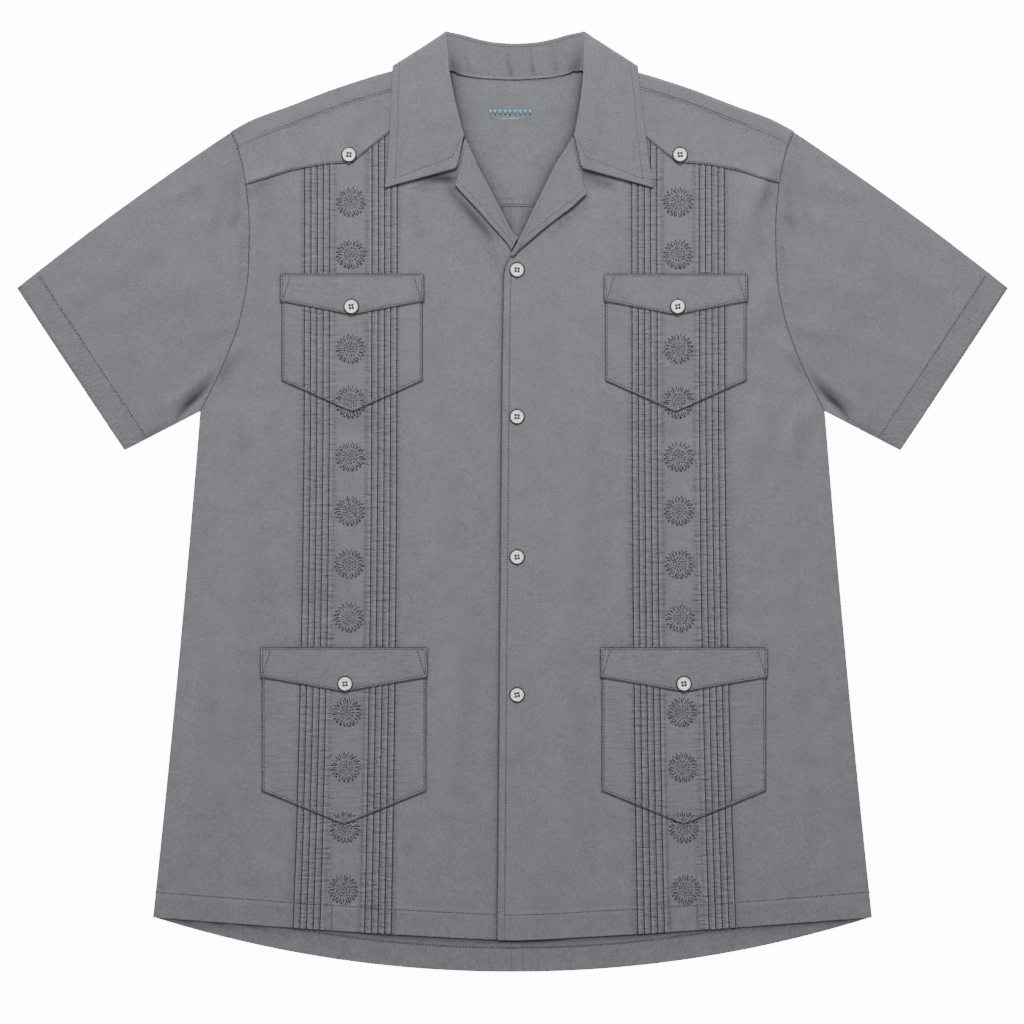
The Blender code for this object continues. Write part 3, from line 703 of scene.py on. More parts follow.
@dataclass(frozen=True)
class PearlFinish:
    """Off-white pearly plastic, polished, with faint clouds, and painted shade from the button's
    tone.
    """

    name: str = "pearl_plastic"
    colour: Triple = (0.9, 0.89, 0.86)
    roughness: float = 0.22
    cloud_contrast: float = 0.12

    def material(self) -> bpy.types.Material:
        """Build the material: a clouded colour under a thin clear coat."""
        tree = Tree(self.name)
        place = tree.place()
        cloud = tree.noise(tree.stretch(place, (1.0, 2.2, 1.0)), 260.0, 3.0)
        # The tone attribute brings the button's painted shade in its holes, groove and rim and
        # under its skirt.
        painted_light_and_tone = tree.attribute(Patch.tone_name) * ((cloud - 0.5) * self.cloud_contrast + 1.0)
        rough = (cloud - 0.5) * 0.1 + self.roughness
        tree.set(
            Base_Color=tree.tint(self.colour, painted_light_and_tone),
            Roughness=rough,
            Coat_Weight=0.4,
            Coat_Roughness=0.12,
            Normal=tree.bump(cloud, 0.00003),
        )
        return tree.material


@dataclass(frozen=True)
class FloorFinish:
    """A plain white table top that glows a little, as a light table does."""

    name: str = "white_table"
    colour: Triple = (0.93, 0.93, 0.93)
    glow: float = 12.0

    def material(self) -> bpy.types.Material:
        """Build the material."""
        tree = Tree(self.name)
        tree.set(
            Base_Color=(*self.colour, 1.0),
            Roughness=0.9,
            Emission_Color=(1.0, 1.0, 1.0, 1.0),
            Emission_Strength=self.glow,
        )
        return tree.material


@dataclass(frozen=True)
class InkFinish:
    """Muted blue ink printed on the cloth inside the neck."""

    name: str = "blue_print"
    colour: Triple = (0.14, 0.34, 0.46)

    def material(self) -> bpy.types.Material:
        """Build the material: ink that the yarns break up a little."""
        tree = Tree(self.name)
        speck = tree.noise(tree.place(), 1500.0)
        tree.set(Base_Color=tree.tint(self.colour, speck * 0.5 + 0.75), Roughness=0.85)
        return tree.material


# ---------------------------------------------------------------- meshes


def mesh_object(name: str, points: Array, faces: Array, tone: Array, material: bpy.types.Material,
                grain: Array | None = None, pucker: Array | None = None) -> bpy.types.Object:
    """Put arrays into a new smooth mesh object at the origin.

    Args:
        name: the object's name.
        points: points x 3, in millimetres.
        faces: faces x 3 or x 4 point numbers.
        tone: one tone for each point.
        material: its material.
        grain: along and across coordinates of each point, in millimetres.
        pucker: how much the cloth puckers at each point, -1 to 1.

    Returns:
        The object.
    """
    mesh = bpy.data.meshes.new(name)
    sides = faces.shape[1]
    mesh.vertices.add(len(points))
    mesh.vertices.foreach_set("co", (points * METRES).astype(np.float32).ravel())
    mesh.loops.add(faces.size)
    mesh.loops.foreach_set("vertex_index", faces.astype(np.int32).ravel())
    mesh.polygons.add(len(faces))
    mesh.polygons.foreach_set("loop_start", np.arange(0, faces.size, sides, dtype=np.int32))
    mesh.update(calc_edges=True)
    mesh.attributes.new(Patch.tone_name, "FLOAT", "POINT").data.foreach_set("value", tone.ravel())
    if pucker is not None:
        values = mesh.attributes.new(Patch.pucker_name, "FLOAT", "POINT").data
        values.foreach_set("value", pucker.ravel())
    if grain is not None:
        layer = mesh.uv_layers.new(name=Patch.grain_name)
        layer.data.foreach_set("uv", (grain[faces.ravel()] * METRES).ravel())
    mesh.polygons.foreach_set("use_smooth", np.ones(len(faces), bool))
    mesh.materials.append(material)
    mesh.validate()
    made = bpy.data.objects.new(name, mesh)
    bpy.context.scene.collection.objects.link(made)
    return made


@dataclass
class Patch:
    """A piece of cloth as a grid through its middle, with its half thickness, tone and grain.

    Rows and columns are the grid's two directions. A looped patch closes round its columns.
    """

    points: Array
    half: Array
    tone: Array
    grain: Array
    pucker: Array
    looped: bool = False

    # The tone carries painted shade and painted highlights as well as the cloth's own tone.
    tone_name = "tone"
    grain_name = "grain"
    pucker_name = "pucker"

    def normals(self) -> Array:
        """Unit normals of the middle surface, up at its highest point.

        Each is the cross product of the central differences along the two directions.

        Returns:
            Rows x columns x 3.
        """
        found = np.cross(np.gradient(self.points, axis=0), self.right())
        found /= np.maximum(np.linalg.norm(found, axis=2, keepdims=True), 1e-9)
        top = np.argmax(self.points[..., 2])
        return found if found[..., 2].ravel()[top] >= 0 else -found

    def size(self) -> Triple:
        """Flat width, length and area of the piece, in millimetres."""
        grid = self.points
        if self.looped:
            grid = np.concatenate([grid, grid[:, :1]], axis=1)
        across, down = np.diff(grid, axis=1), np.diff(grid, axis=0)
        width = np.linalg.norm(across, axis=2).sum(axis=1).max()
        length = np.linalg.norm(down, axis=2).sum(axis=0).max()
        area = np.linalg.norm(np.cross(across[:-1], down[:, :-1]), axis=2).sum()
        return float(width), float(length), float(area)

    def shell(self) -> tuple[Array, Array, Array, Array, Array]:
        """The closed shell: the grid moved out both ways by the half thickness.

        The two sides share the points of the open edges, where the thickness is nothing.

        Returns:
            Points, four-sided faces, tones, grain and pucker.
        """
        normal = self.normals()
        rows, columns = self.points.shape[:2]
        half = self.half.copy()
        half[[0, -1]] = 0.0
        if not self.looped:
            half[:, [0, -1]] = 0.0
        offset = normal * half[..., None]
        upper = np.arange(rows * columns).reshape(rows, columns)
        lower = upper + rows * columns
        lower[[0, -1]] = upper[[0, -1]]
        if self.looped:
            upper = np.concatenate([upper, upper[:, :1]], axis=1)
            lower = np.concatenate([lower, lower[:, :1]], axis=1)
        else:
            lower[:, [0, -1]] = upper[:, [0, -1]]
        down = np.gradient(self.points, axis=0)
        outward = np.sum(normal * np.cross(down, self.right()), axis=2).mean()
        quads = []
        for sheet, turned in ((upper, outward < 0), (lower, outward >= 0)):
            ring = [sheet[:-1, :-1], sheet[1:, :-1], sheet[1:, 1:], sheet[:-1, 1:]]
            quads.append(np.stack(ring[::-1] if turned else ring, axis=-1).reshape(-1, 4))
        faces = np.concatenate(quads)
        points = np.concatenate([self.points + offset, self.points - offset]).reshape(-1, 3)
        used, faces = np.unique(faces, return_inverse=True)
        tone = np.tile(self.tone.ravel(), 2)
        grain = np.tile(self.grain.reshape(-1, 2), (2, 1))
        pucker = np.tile(self.pucker.ravel(), 2)
        return points[used], faces.reshape(-1, 4), tone[used], grain[used], pucker[used]

    def right(self) -> Array:
        """Differences along the columns."""
        if self.looped:
            return np.roll(self.points, -1, axis=1) - np.roll(self.points, 1, axis=1)
        return np.gradient(self.points, axis=1)

    def surface(self) -> Array:
        """The grid of its upper side."""
        return self.points + self.normals() * self.half[..., None]


def cloth_object(name: str, patches: Sequence[Patch],
                 material: bpy.types.Material) -> bpy.types.Object:
    """Make one object from patches, each a closed shell."""
    shells = [patch.shell() for patch in patches]
    starts = np.cumsum([0] + [len(shell[0]) for shell in shells[:-1]])
    points, _, tone, grain, pucker = (np.concatenate(parts) for parts in zip(*shells))
    faces = np.concatenate([shell[1] + start for shell, start in zip(shells, starts)])
    return mesh_object(name, points, faces, tone, material, grain, pucker)


def edge_distance(x: Array, y: Array) -> Array:
    """Distance along the grid from each point to the nearest of the four edges."""
    points = np.dstack([x, y])
    spans = []
    for axis in (0, 1):
        steps = np.linalg.norm(np.diff(points, axis=axis), axis=2)
        pad = np.zeros_like(np.take(steps, [0], axis=axis))
        run = np.concatenate([pad, np.cumsum(steps, axis=axis)], axis=axis)
        spans += [run, np.take(run, [-1], axis=axis) - run]
    return np.minimum.reduce(spans)


def turned_half(near: Array, half: float = HALF_CLOTH) -> Array:
    """Half thickness at a distance from the edge: a quarter circle over ROUND, then level."""
    return half * np.sqrt(1 - (1 - np.clip(near / ROUND, 0, 1)) ** 2)


def flat_patch(x: Array, y: Array, mid: Array, tone: Array | float = 1.0,
               pucker: Array | float = 0.0,
               edge_shade: float = 0.55) -> Patch:
    """A patch over a grid of x and y, with its grain along Y.

    Args:
        x: X of the grid.
        y: Y of the grid.
        mid: height of the middle of the cloth.
        tone: tone of the cloth.
        pucker: how much it puckers, 0 to 1 in level ripples and 0 to -1 in upright ones.
        edge_shade: how much darker its very edge is.

    Returns:
        The patch.
    """
    x, y, mid = np.broadcast_arrays(x, y, mid)
    near = edge_distance(x, y)
    # Painted shade along the very edge of the cloth, times the painted shade and light of the
    # creases.
    dark = 1 - edge_shade * bell(near, 0.35)
    tones = np.broadcast_to(tone, x.shape) * GROUND.tone(x, y) * dark
    pucker = np.broadcast_to(pucker, x.shape)
    puckers = np.where(pucker < 0, pucker, np.maximum(pucker, 0.3 * ease(1 - near / 9.0)))
    return Patch(np.dstack([x, y, mid]), turned_half(near), tones, np.dstack([x, y]), puckers)


class Bits:
    """Many small solids joined in one mesh: stitches, embroidery threads, and bars of painted shade
    and highlight at needle holes, gaps and folds.
    """

    def __init__(self) -> None:
        """Start empty."""
        self.points: list[Array] = []
        self.faces: list[Array] = []
        self.tones: list[Array] = []
        self.count = 0

    def add(self, points: Array, faces: Array, tone: float | Array) -> None:
        """Add copies of one solid.

        Args:
            points: copies x points x 3.
            faces: faces x 3 of one copy.
            tone: one tone for all, or one for each copy.
        """
        copies, size = points.shape[:2]
        start = self.count + np.arange(copies)[:, None, None] * size
        self.points.append(points.reshape(-1, 3))
        self.faces.append((faces[None] + start).reshape(-1, 3))
        self.tones.append(np.repeat(np.broadcast_to(tone, copies).astype(float), size))
        self.count += copies * size

    def build(self, name: str, material: bpy.types.Material) -> bpy.types.Object:
        """Make the joined mesh."""
        return mesh_object(name, np.concatenate(self.points), np.concatenate(self.faces),
                           np.concatenate(self.tones), material)


def bars(centres: Array, along: Array, size: Triple, up: Array = UP) -> tuple[Array, Array]:
    """Small ridged bars, one at each centre, such as stitches and the slits beside them.

    Each is a prism: a flat underside a fifth of its height below the centre, and two slopes up
    to a ridge half its height above it.

    Args:
        centres: copies x 3.
        along: direction of each, of any length.
        size: length, width and height.
        up: the cloth's normal at each, or one for all.

    Returns:
        The points of all copies and the triangles of one.
    """
    length, width, height = size
    ahead = along / np.linalg.norm(along, axis=1, keepdims=True)
    across = np.cross(up, ahead)
    across /= np.linalg.norm(across, axis=1, keepdims=True)
    above = np.cross(ahead, across)
    profile = np.array([[0.5, -0.2], [0.0, 0.5], [-0.5, -0.2]])
    section = across[:, None] * profile[:, :1] * width + above[:, None] * profile[:, 1:] * height
    half = ahead[:, None] * length / 2
    points = np.concatenate([centres[:, None] + section - half, centres[:, None] + section + half],
                            axis=1)
    faces = [[0, 2, 1], [3, 4, 5]]
    for i, j in ((0, 1), (1, 2), (2, 0)):
        faces += [[i, j, j + 3], [i, j + 3, i + 3]]
    return points, np.array(faces)


@dataclass(frozen=True)
class Stitching:
    """A row of machine stitches: its pitch, the length of each stitch and its thread."""

    pitch: float = 2.7
    length: float = 2.2
    width: float = 0.42
    height: float = 0.4
    tone: float = 0.8
    sink: float = 0.06
    # A dark bar of painted shade at each needle hole: its tone, length and width.
    hole: float = 0.2
    hole_length: float = 1.4
    hole_width: float = 1.05
    lift: float = 0.08

    def run(self, bits: Bits, path: Array, up: Array = UP, tone: float | None = None) -> None:
        """Lay stitches along a path.

        Args:
            bits: where they are added.
            path: points x 3 along the sewn line.
            up: the cloth's normal at each point, or one for all of them.
            tone: tone of the thread, if not its own.
        """
        steps = np.linalg.norm(np.diff(path, axis=0), axis=1)
        run = np.concatenate([[0.0], np.cumsum(steps)])
        count = int(run[-1] / self.pitch)
        if count < 1:
            return
        places = (np.arange(count) + 0.5) * run[-1] / count
        back, middle, ahead = (
            np.stack([np.interp(places + d, run, column) for column in path.T], 1)
            for d in (-self.length / 2, 0.0, self.length / 2)
        )
        if up.ndim > 1:
            up = np.stack([np.interp(places, run, column) for column in up.T], 1)
        centres = middle + up * (self.lift - self.sink)
        size = (self.length, self.width, self.height)
        bits.add(*bars(centres, ahead - back, size, up), tone or self.tone)
        # Painted shade in the needle hole after each stitch.
        if self.hole_length:
            size = (self.hole_length, self.hole_width, 0.16)
            bits.add(*bars(ahead + up * self.lift, ahead - back, size, up), self.hole)


STITCH = Stitching()
SOFT_STITCH = Stitching(hole=0.45, hole_length=1.2, hole_width=0.9)
LABEL_STITCH = Stitching(pitch=1.4, length=1.1, width=0.5, height=0.35, tone=1.2, hole_length=0.5)
BURIED = {"height": 0.2, "sink": 0.0, "hole_length": 0.0}
TUCK_STITCH = Stitching(pitch=3.0, length=1.2, width=0.6, tone=0.4, **BURIED)
# Lines along an edge or a seam: painted shadow in the deep gap beside it, and a painted highlight
# where the pressed fold catches light.
GAP_SHADOW = Stitching(pitch=2.6, length=3.0, width=0.65, tone=0.28, **BURIED)
FOLD_HIGHLIGHT = Stitching(pitch=2.6, length=3.0, width=0.6, tone=1.22, **BURIED)


def closed_tubes(paths: Array, radius: float, sides: int = 4,
                 flat: float = 0.8) -> tuple[Array, Array]:
    """Carry an oval profile along closed paths.

    Each ring is the path's point plus radius times (cos a x sideways + flat sin a x up).

    Args:
        paths: copies x points x 3.
        radius: half the thread's width.
        sides: number of points round the profile.
        flat: height of the profile over its width.

    Returns:
        The points of all copies and the triangles of one.
    """
    along = np.roll(paths, -1, axis=1) - np.roll(paths, 1, axis=1)
    along /= np.linalg.norm(along, axis=2, keepdims=True)
    sideways = np.cross(along, [0.0, 0.0, 1.0])
    sideways /= np.maximum(np.linalg.norm(sideways, axis=2, keepdims=True), 1e-9)
    up = np.cross(sideways, along)
    turns = 2 * np.pi * np.arange(sides) / sides
    ring = paths[:, :, None] + radius * (
        np.cos(turns)[:, None] * sideways[:, :, None]
        + flat * np.sin(turns)[:, None] * up[:, :, None]
    )
    count = paths.shape[1]
    i, j = np.meshgrid(np.arange(count), np.arange(sides), indexing="ij")
    a, b = i * sides + j, (i + 1) % count * sides + j
    c, d = (i + 1) % count * sides + (j + 1) % sides, i * sides + (j + 1) % sides
    faces = np.concatenate([np.stack([a, d, c], -1), np.stack([a, c, b], -1)]).reshape(-1, 3)
    return ring.reshape(len(paths), -1, 3), faces


# ---------------------------------------------------------------- keeping the pieces


@dataclass
class Workroom:
    """The materials, and the log of the pieces made with them."""

    cloth: bpy.types.Material
    thread: bpy.types.Material
    pearl: bpy.types.Material
    ink: bpy.types.Material

    def keep(self, piece: bpy.types.Object, slot: str, *nodes: str) -> bpy.types.Object:
        """Let a piece ride on the body and stand for its nodes."""
        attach(piece, BODY)
        if nodes:
            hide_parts(*nodes)
        LOG.info("%s: %d faces", piece.name, len(piece.data.polygons))
        return piece

    def trim(self, name: str, bits: Bits,
             material: bpy.types.Material | None = None) -> list[bpy.types.Object]:
        """Make the joined small solids of a piece, if it has any."""
        if not bits.count:
            return []
        return [self.keep(bits.build(name, material or self.thread), THREAD_SLOT)]

    def lay(self, name: str, patches: Sequence[Patch], node: str, rests_on: Sequence[str],
            bits: Bits, flat: Triple | None = None) -> bpy.types.Object:
        """Make a piece of laid cloth with its stitches.

        Args:
            name: name of the cloth's object.
            patches: its closed shells.
            node: the solid that it stands for.
            rests_on: what it lies on; not used.
            bits: its stitches and threads.
            flat: width, length and area of its cut in millimetres, if not those of its patch.

        Returns:
            The cloth's object.
        """
        cloth = self.keep(cloth_object(name, patches, self.cloth), CLOTH_SLOT, node)
        threads = self.trim(name + "_threads", bits)
        width, length, area = flat or patches[0].size()
        width * METRES
        length * METRES
        area * METRES**2
        return cloth


def straight(x0: float, y0: float, x1: float, y1: float, count: int = 60) -> tuple[Array, Array]:
    """X and Y of evenly spaced points on a straight line."""
    t = np.linspace(0, 1, count)
    return x0 + (x1 - x0) * t, y0 + (y1 - y0) * t


# ---------------------------------------------------------------- embroidery and buttons


@dataclass(frozen=True)
class Loops:
    """One ring of a rosette's loops, like petals.

    Attributes:
        count: number of loops.
        middle: radius at which they are centred.
        reach: half their length.
        half: half their width.
        tone: tone of their thread, lighter than the cloth as a painted highlight.
        points: points round one loop.
    """

    count: int
    middle: float
    reach: float
    half: float
    tone: float
    points: int = 12


@dataclass(frozen=True)
class Rosette:
    """An embroidered rosette: a ring of looped petals round small loops and an open centre."""

    petals: Loops = Loops(20, 9.6, 3.0, 1.05, 1.55)
    loops: Loops = Loops(13, 5.5, 1.7, 1.0, 1.35, 10)
    hearts: Loops = Loops(6, 2.5, 1.1, 0.9, 1.3, 8)
    thread: float = 0.4
    unevenness: float = 0.25
    # Rings of slits, dark bars of painted shade where the threads pull the cloth open: their
    # number, radius, length, width and tone, and their shift in steps.
    slit_rings: tuple[tuple[int, float, float, float, float, float], ...] = (
        (20, 10.7, 4.8, 1.6, 0.15, 0.5), (20, 9.6, 4.4, 1.5, 0.17, 0.0),
        (13, 6.6, 2.4, 1.7, 0.13, 0.5), (13, 5.4, 2.6, 1.4, 0.15, 0.0),
        (6, 3.4, 2.0, 1.6, 0.1, 0.5), (6, 2.4, 1.6, 1.1, 0.15, 0.0),
        (1, 0.0, 1.3, 1.3, 0.15, 0.0),
    )
    # How far threads and slits stay from the end of the cloth.
    thread_end: float = 0.6
    slit_end: float = 2.2

    def ring(self, loops: Loops, rng: np.random.Generator) -> Array:
        """Closed loops round the centre.

        A loop's point t turns is at radius middle + reach cos t, and half sin t to the side,
        wider at its outer end.

        Args:
            loops: their number and sizes.
            rng: source of their unevenness.

        Returns:
            Loops x points x 3, about the centre.
        """
        count = loops.count
        t = 2 * np.pi * np.arange(loops.points) / loops.points
        turn = 2 * np.pi * (np.arange(count) + rng.uniform(-0.12, 0.12, count)) / count
        reaches = loops.reach * (1 + rng.uniform(-1, 1, count) * self.unevenness * 0.5)
        halves = loops.half * (1 + rng.uniform(-1, 1, count) * self.unevenness)
        radial = loops.middle + reaches[:, None] * np.cos(t)
        sideways = halves[:, None] * np.sin(t) * (0.85 + 0.3 * np.cos(t))
        x = radial * np.cos(turn)[:, None] - sideways * np.sin(turn)[:, None]
        y = radial * np.sin(turn)[:, None] + sideways * np.cos(turn)[:, None]
        return np.dstack([x, y, np.broadcast_to(0.3 + 0.12 * np.cos(2 * t), x.shape)])

    def sew(self, bits: Bits, x: float, y: float, top: Surface, seed: int,
            end: Callable[[Array], Array] | None = None) -> None:
        """Add one rosette's threads and needle slits.

        Args:
            bits: where they are added.
            x: X of its centre.
            y: Y of its centre.
            top: height of the cloth at x, y.
            seed: seed of its unevenness.
            end: Y at which the cloth ends, at x; threads beyond it are pressed back to it.
        """
        rng = np.random.default_rng(seed)
        kinds = (self.petals, self.loops, self.hearts)
        for kind, loops in zip(kinds, [self.ring(kind, rng) for kind in kinds]):
            loops = loops + [x, y, 0.0]
            if end:
                inside = loops[..., 1] > end(loops[..., 0]) + self.thread_end
                loops = loops[inside.sum(axis=1) > 2]
                loops[..., 1] = np.maximum(loops[..., 1], end(loops[..., 0]) + self.thread_end)
            loops[..., 2] += top(loops[..., 0], loops[..., 1])
            points, faces = closed_tubes(loops, self.thread, 3)
            bits.add(points, faces, kind.tone + rng.uniform(-0.08, 0.08, len(loops)))
        self.slits(bits, x, y, top, rng, end)

    def slits(self, bits: Bits, x: float, y: float, top: Surface,
              rng: np.random.Generator, end: Callable[[Array], Array] | None) -> None:
        """Add the slits that the threads pull open, at the petals and the eye, as dark bars of
        painted shade.
        """
        for count, radius, length, width, tone, offset in self.slit_rings:
            turn = 2 * np.pi * (np.arange(count) + offset + rng.uniform(-0.1, 0.1, count)) / count
            away = np.stack([np.cos(turn), np.sin(turn), np.zeros(count)], 1)
            centres = away * (radius + rng.uniform(-0.25, 0.25, count))[:, None] + [x, y, 0.0]
            centres[:, 2] = top(centres[:, 0], centres[:, 1]) + 0.02
            tones = tone + rng.uniform(-0.06, 0.06, count)
            if end:
                keep = centres[:, 1] > end(centres[:, 0]) + self.slit_end
                centres, away, tones = centres[keep], away[keep], tones[keep]
            bits.add(*bars(centres, away, (length, width, 0.12)), tones)


ROSETTE = Rosette()


@dataclass(frozen=True)
class Button:
    """A four-hole button with a raised rim round a shallow dish."""

    radius: float = 5.7
    height: float = 2.0
    round_over: float = 0.8
    dish_radius: float = 4.3
    dish: float = 0.55
    hole_radius: float = 1.2
    hole_offset: float = 1.35
    hole_depth: float = 1.4
    turns: int = 48

    def solid(self) -> tuple[Array, Array, Array]:
        """The button about its own axis, from its base at 0.

        The top is a height over the radius: a flat dish, an eased wall up to the rim, and a
        quarter-round edge; four pits are sunk into it with steep eased walls.

        Returns:
            Points, triangles and tones.
        """
        ring = np.concatenate([
            np.linspace(0.25, 3.0, 22), np.linspace(3.2, 5.0, 10),
            self.radius - self.round_over * (1 - np.sin(np.linspace(0.2, np.pi / 2, 6))),
        ])
        turn = 2 * np.pi * np.arange(self.turns) / self.turns
        r, a = np.meshgrid(ring, turn, indexing="ij")
        x, y = r * np.cos(a), r * np.sin(a)
        wall = ease((r - self.dish_radius) / 0.6)
        over = np.clip((r - self.radius + self.round_over) / self.round_over, 0, 1)
        z = self.height - self.dish * (1 - wall) - self.round_over * (1 - np.sqrt(1 - over**2))
        offset = self.hole_offset
        far = np.hypot(np.abs(x) - offset, np.abs(y) - offset)
        pit = ease((self.hole_radius + 0.1 - far) / 0.22)
        z -= self.hole_depth * pit
        groove = bell(r - self.dish_radius, 0.22, 0.1)
        middle = 1 - 0.4 * ease((2.9 - r) / 0.6)
        # Tone: painted shade down in the pits, in the groove at the dish wall and over the rounded
        # rim, and darker in the middle of the dish.
        tone = (1 - 0.99 * pit) * middle * (1 - 0.35 * groove) * (1 - 0.45 * over**3)
        # A skirt flaring out at the base, dark as painted shadow where the button meets the cloth.
        side = np.array([[self.radius, 0.75], [self.radius + 0.75, 0.35], [self.radius + 0.8, 0.0],
                         [2.0, 0.0]])
        sides = np.stack([
            side[:, :1] * np.cos(turn), side[:, :1] * np.sin(turn),
            np.broadcast_to(side[:, 1:], (4, self.turns)),
        ], axis=-1)
        grid = np.concatenate([np.dstack([x, y, z]), sides])
        tones = np.concatenate([tone, np.full((4, self.turns), 0.1)])
        rings = len(grid)
        poles = [[0.0, 0.0, self.height - self.dish], [0.0, 0.0, 0.0]]
        points = np.concatenate([grid.reshape(-1, 3), poles])
        i, j = np.meshgrid(np.arange(rings - 1), np.arange(self.turns), indexing="ij")
        k = (j + 1) % self.turns
        low, high = i * self.turns, (i + 1) * self.turns
        a, b, c, d = low + j, high + j, high + k, low + k
        j, k = j[0], k[0]
        last = (rings - 1) * self.turns
        top, base = len(points) - 2, len(points) - 1
        faces = np.concatenate([
            np.stack([a, b, c], -1).reshape(-1, 3), np.stack([a, c, d], -1).reshape(-1, 3),
            np.stack([j * 0 + top, j, k], -1), np.stack([j * 0 + base, last + k, last + j], -1),
        ])
        return points, faces, np.concatenate([tones.ravel(), [1.0, 0.5]])

    def make(self, room: Workroom, name: str, x: float, y: float, base: float,
             tilt: float = 0.0) -> None:
        """Make one button on the cloth.

        Args:
            room: where it is kept.
            name: name of the solid that it stands for.
            x: X of its centre.
            y: Y of its centre.
            base: height of the cloth under it.
            tilt: turn about its own axis, in radians.
        """
        points, faces, tone = self.solid()
        cos, sin = math.cos(tilt), math.sin(tilt)
        turned = points @ np.array([[cos, sin, 0.0], [-sin, cos, 0.0], [0.0, 0.0, 1.0]])
        made = mesh_object("visible_" + name, turned + [x, y, base + SEAM], faces, tone, room.pearl)
        room.keep(made, BUTTON_SLOT, name)


BUTTON = Button()


@dataclass(frozen=True)
class Buttonhole:
    """A vertical buttonhole: two banks of close satin bars and a bar across each end."""

    length: float = 15.5
    pitch: float = 0.5
    bank_x: float = 0.85
    lean: Triple = (1.0, 0.04, 0.0)
    satin: Triple = (1.15, 0.5, 0.3)
    satin_tone: float = 1.15
    # The slit is a dark bar of painted shade in the cut: its size and tone.
    slit: Triple = (14.0, 0.8, 0.2)
    slit_tone: float = 0.15
    bar: Triple = (2.9, 0.45, 0.3)
    bar_count: int = 5
    low_bar_tone: float = 0.5

    def sew(self, bits: Bits, x: float, y: float, top: Surface) -> None:
        """Add its threads.

        Args:
            bits: where they are added.
            x: X of its middle.
            y: Y of its middle.
            top: height of the cloth at x, y.
        """
        count = int(self.length / self.pitch)
        rows = y + np.linspace(-self.length / 2, self.length / 2, count)
        across = np.array([self.lean])
        for way in (-1, 1):
            centres = laid(np.full(count, x + way * self.bank_x), rows, top, 0.1)
            bits.add(*bars(centres, across, self.satin), self.satin_tone)
        slit = laid(np.array([x]), np.array([y]), top, 0.03)
        bits.add(*bars(slit, np.array([[0.0, 1.0, 0.0]]), self.slit), self.slit_tone)
        for end, tone in ((1, self.satin_tone), (-1, self.low_bar_tone)):
            ys = y + end * (self.length / 2 + 0.2) + np.linspace(-0.5, 0.5, self.bar_count)
            centres = laid(np.full(self.bar_count, x), ys, top, 0.12)
            bits.add(*bars(centres, across, self.bar), tone)


BUTTONHOLE = Buttonhole()


# ---------------------------------------------------------------- fronts


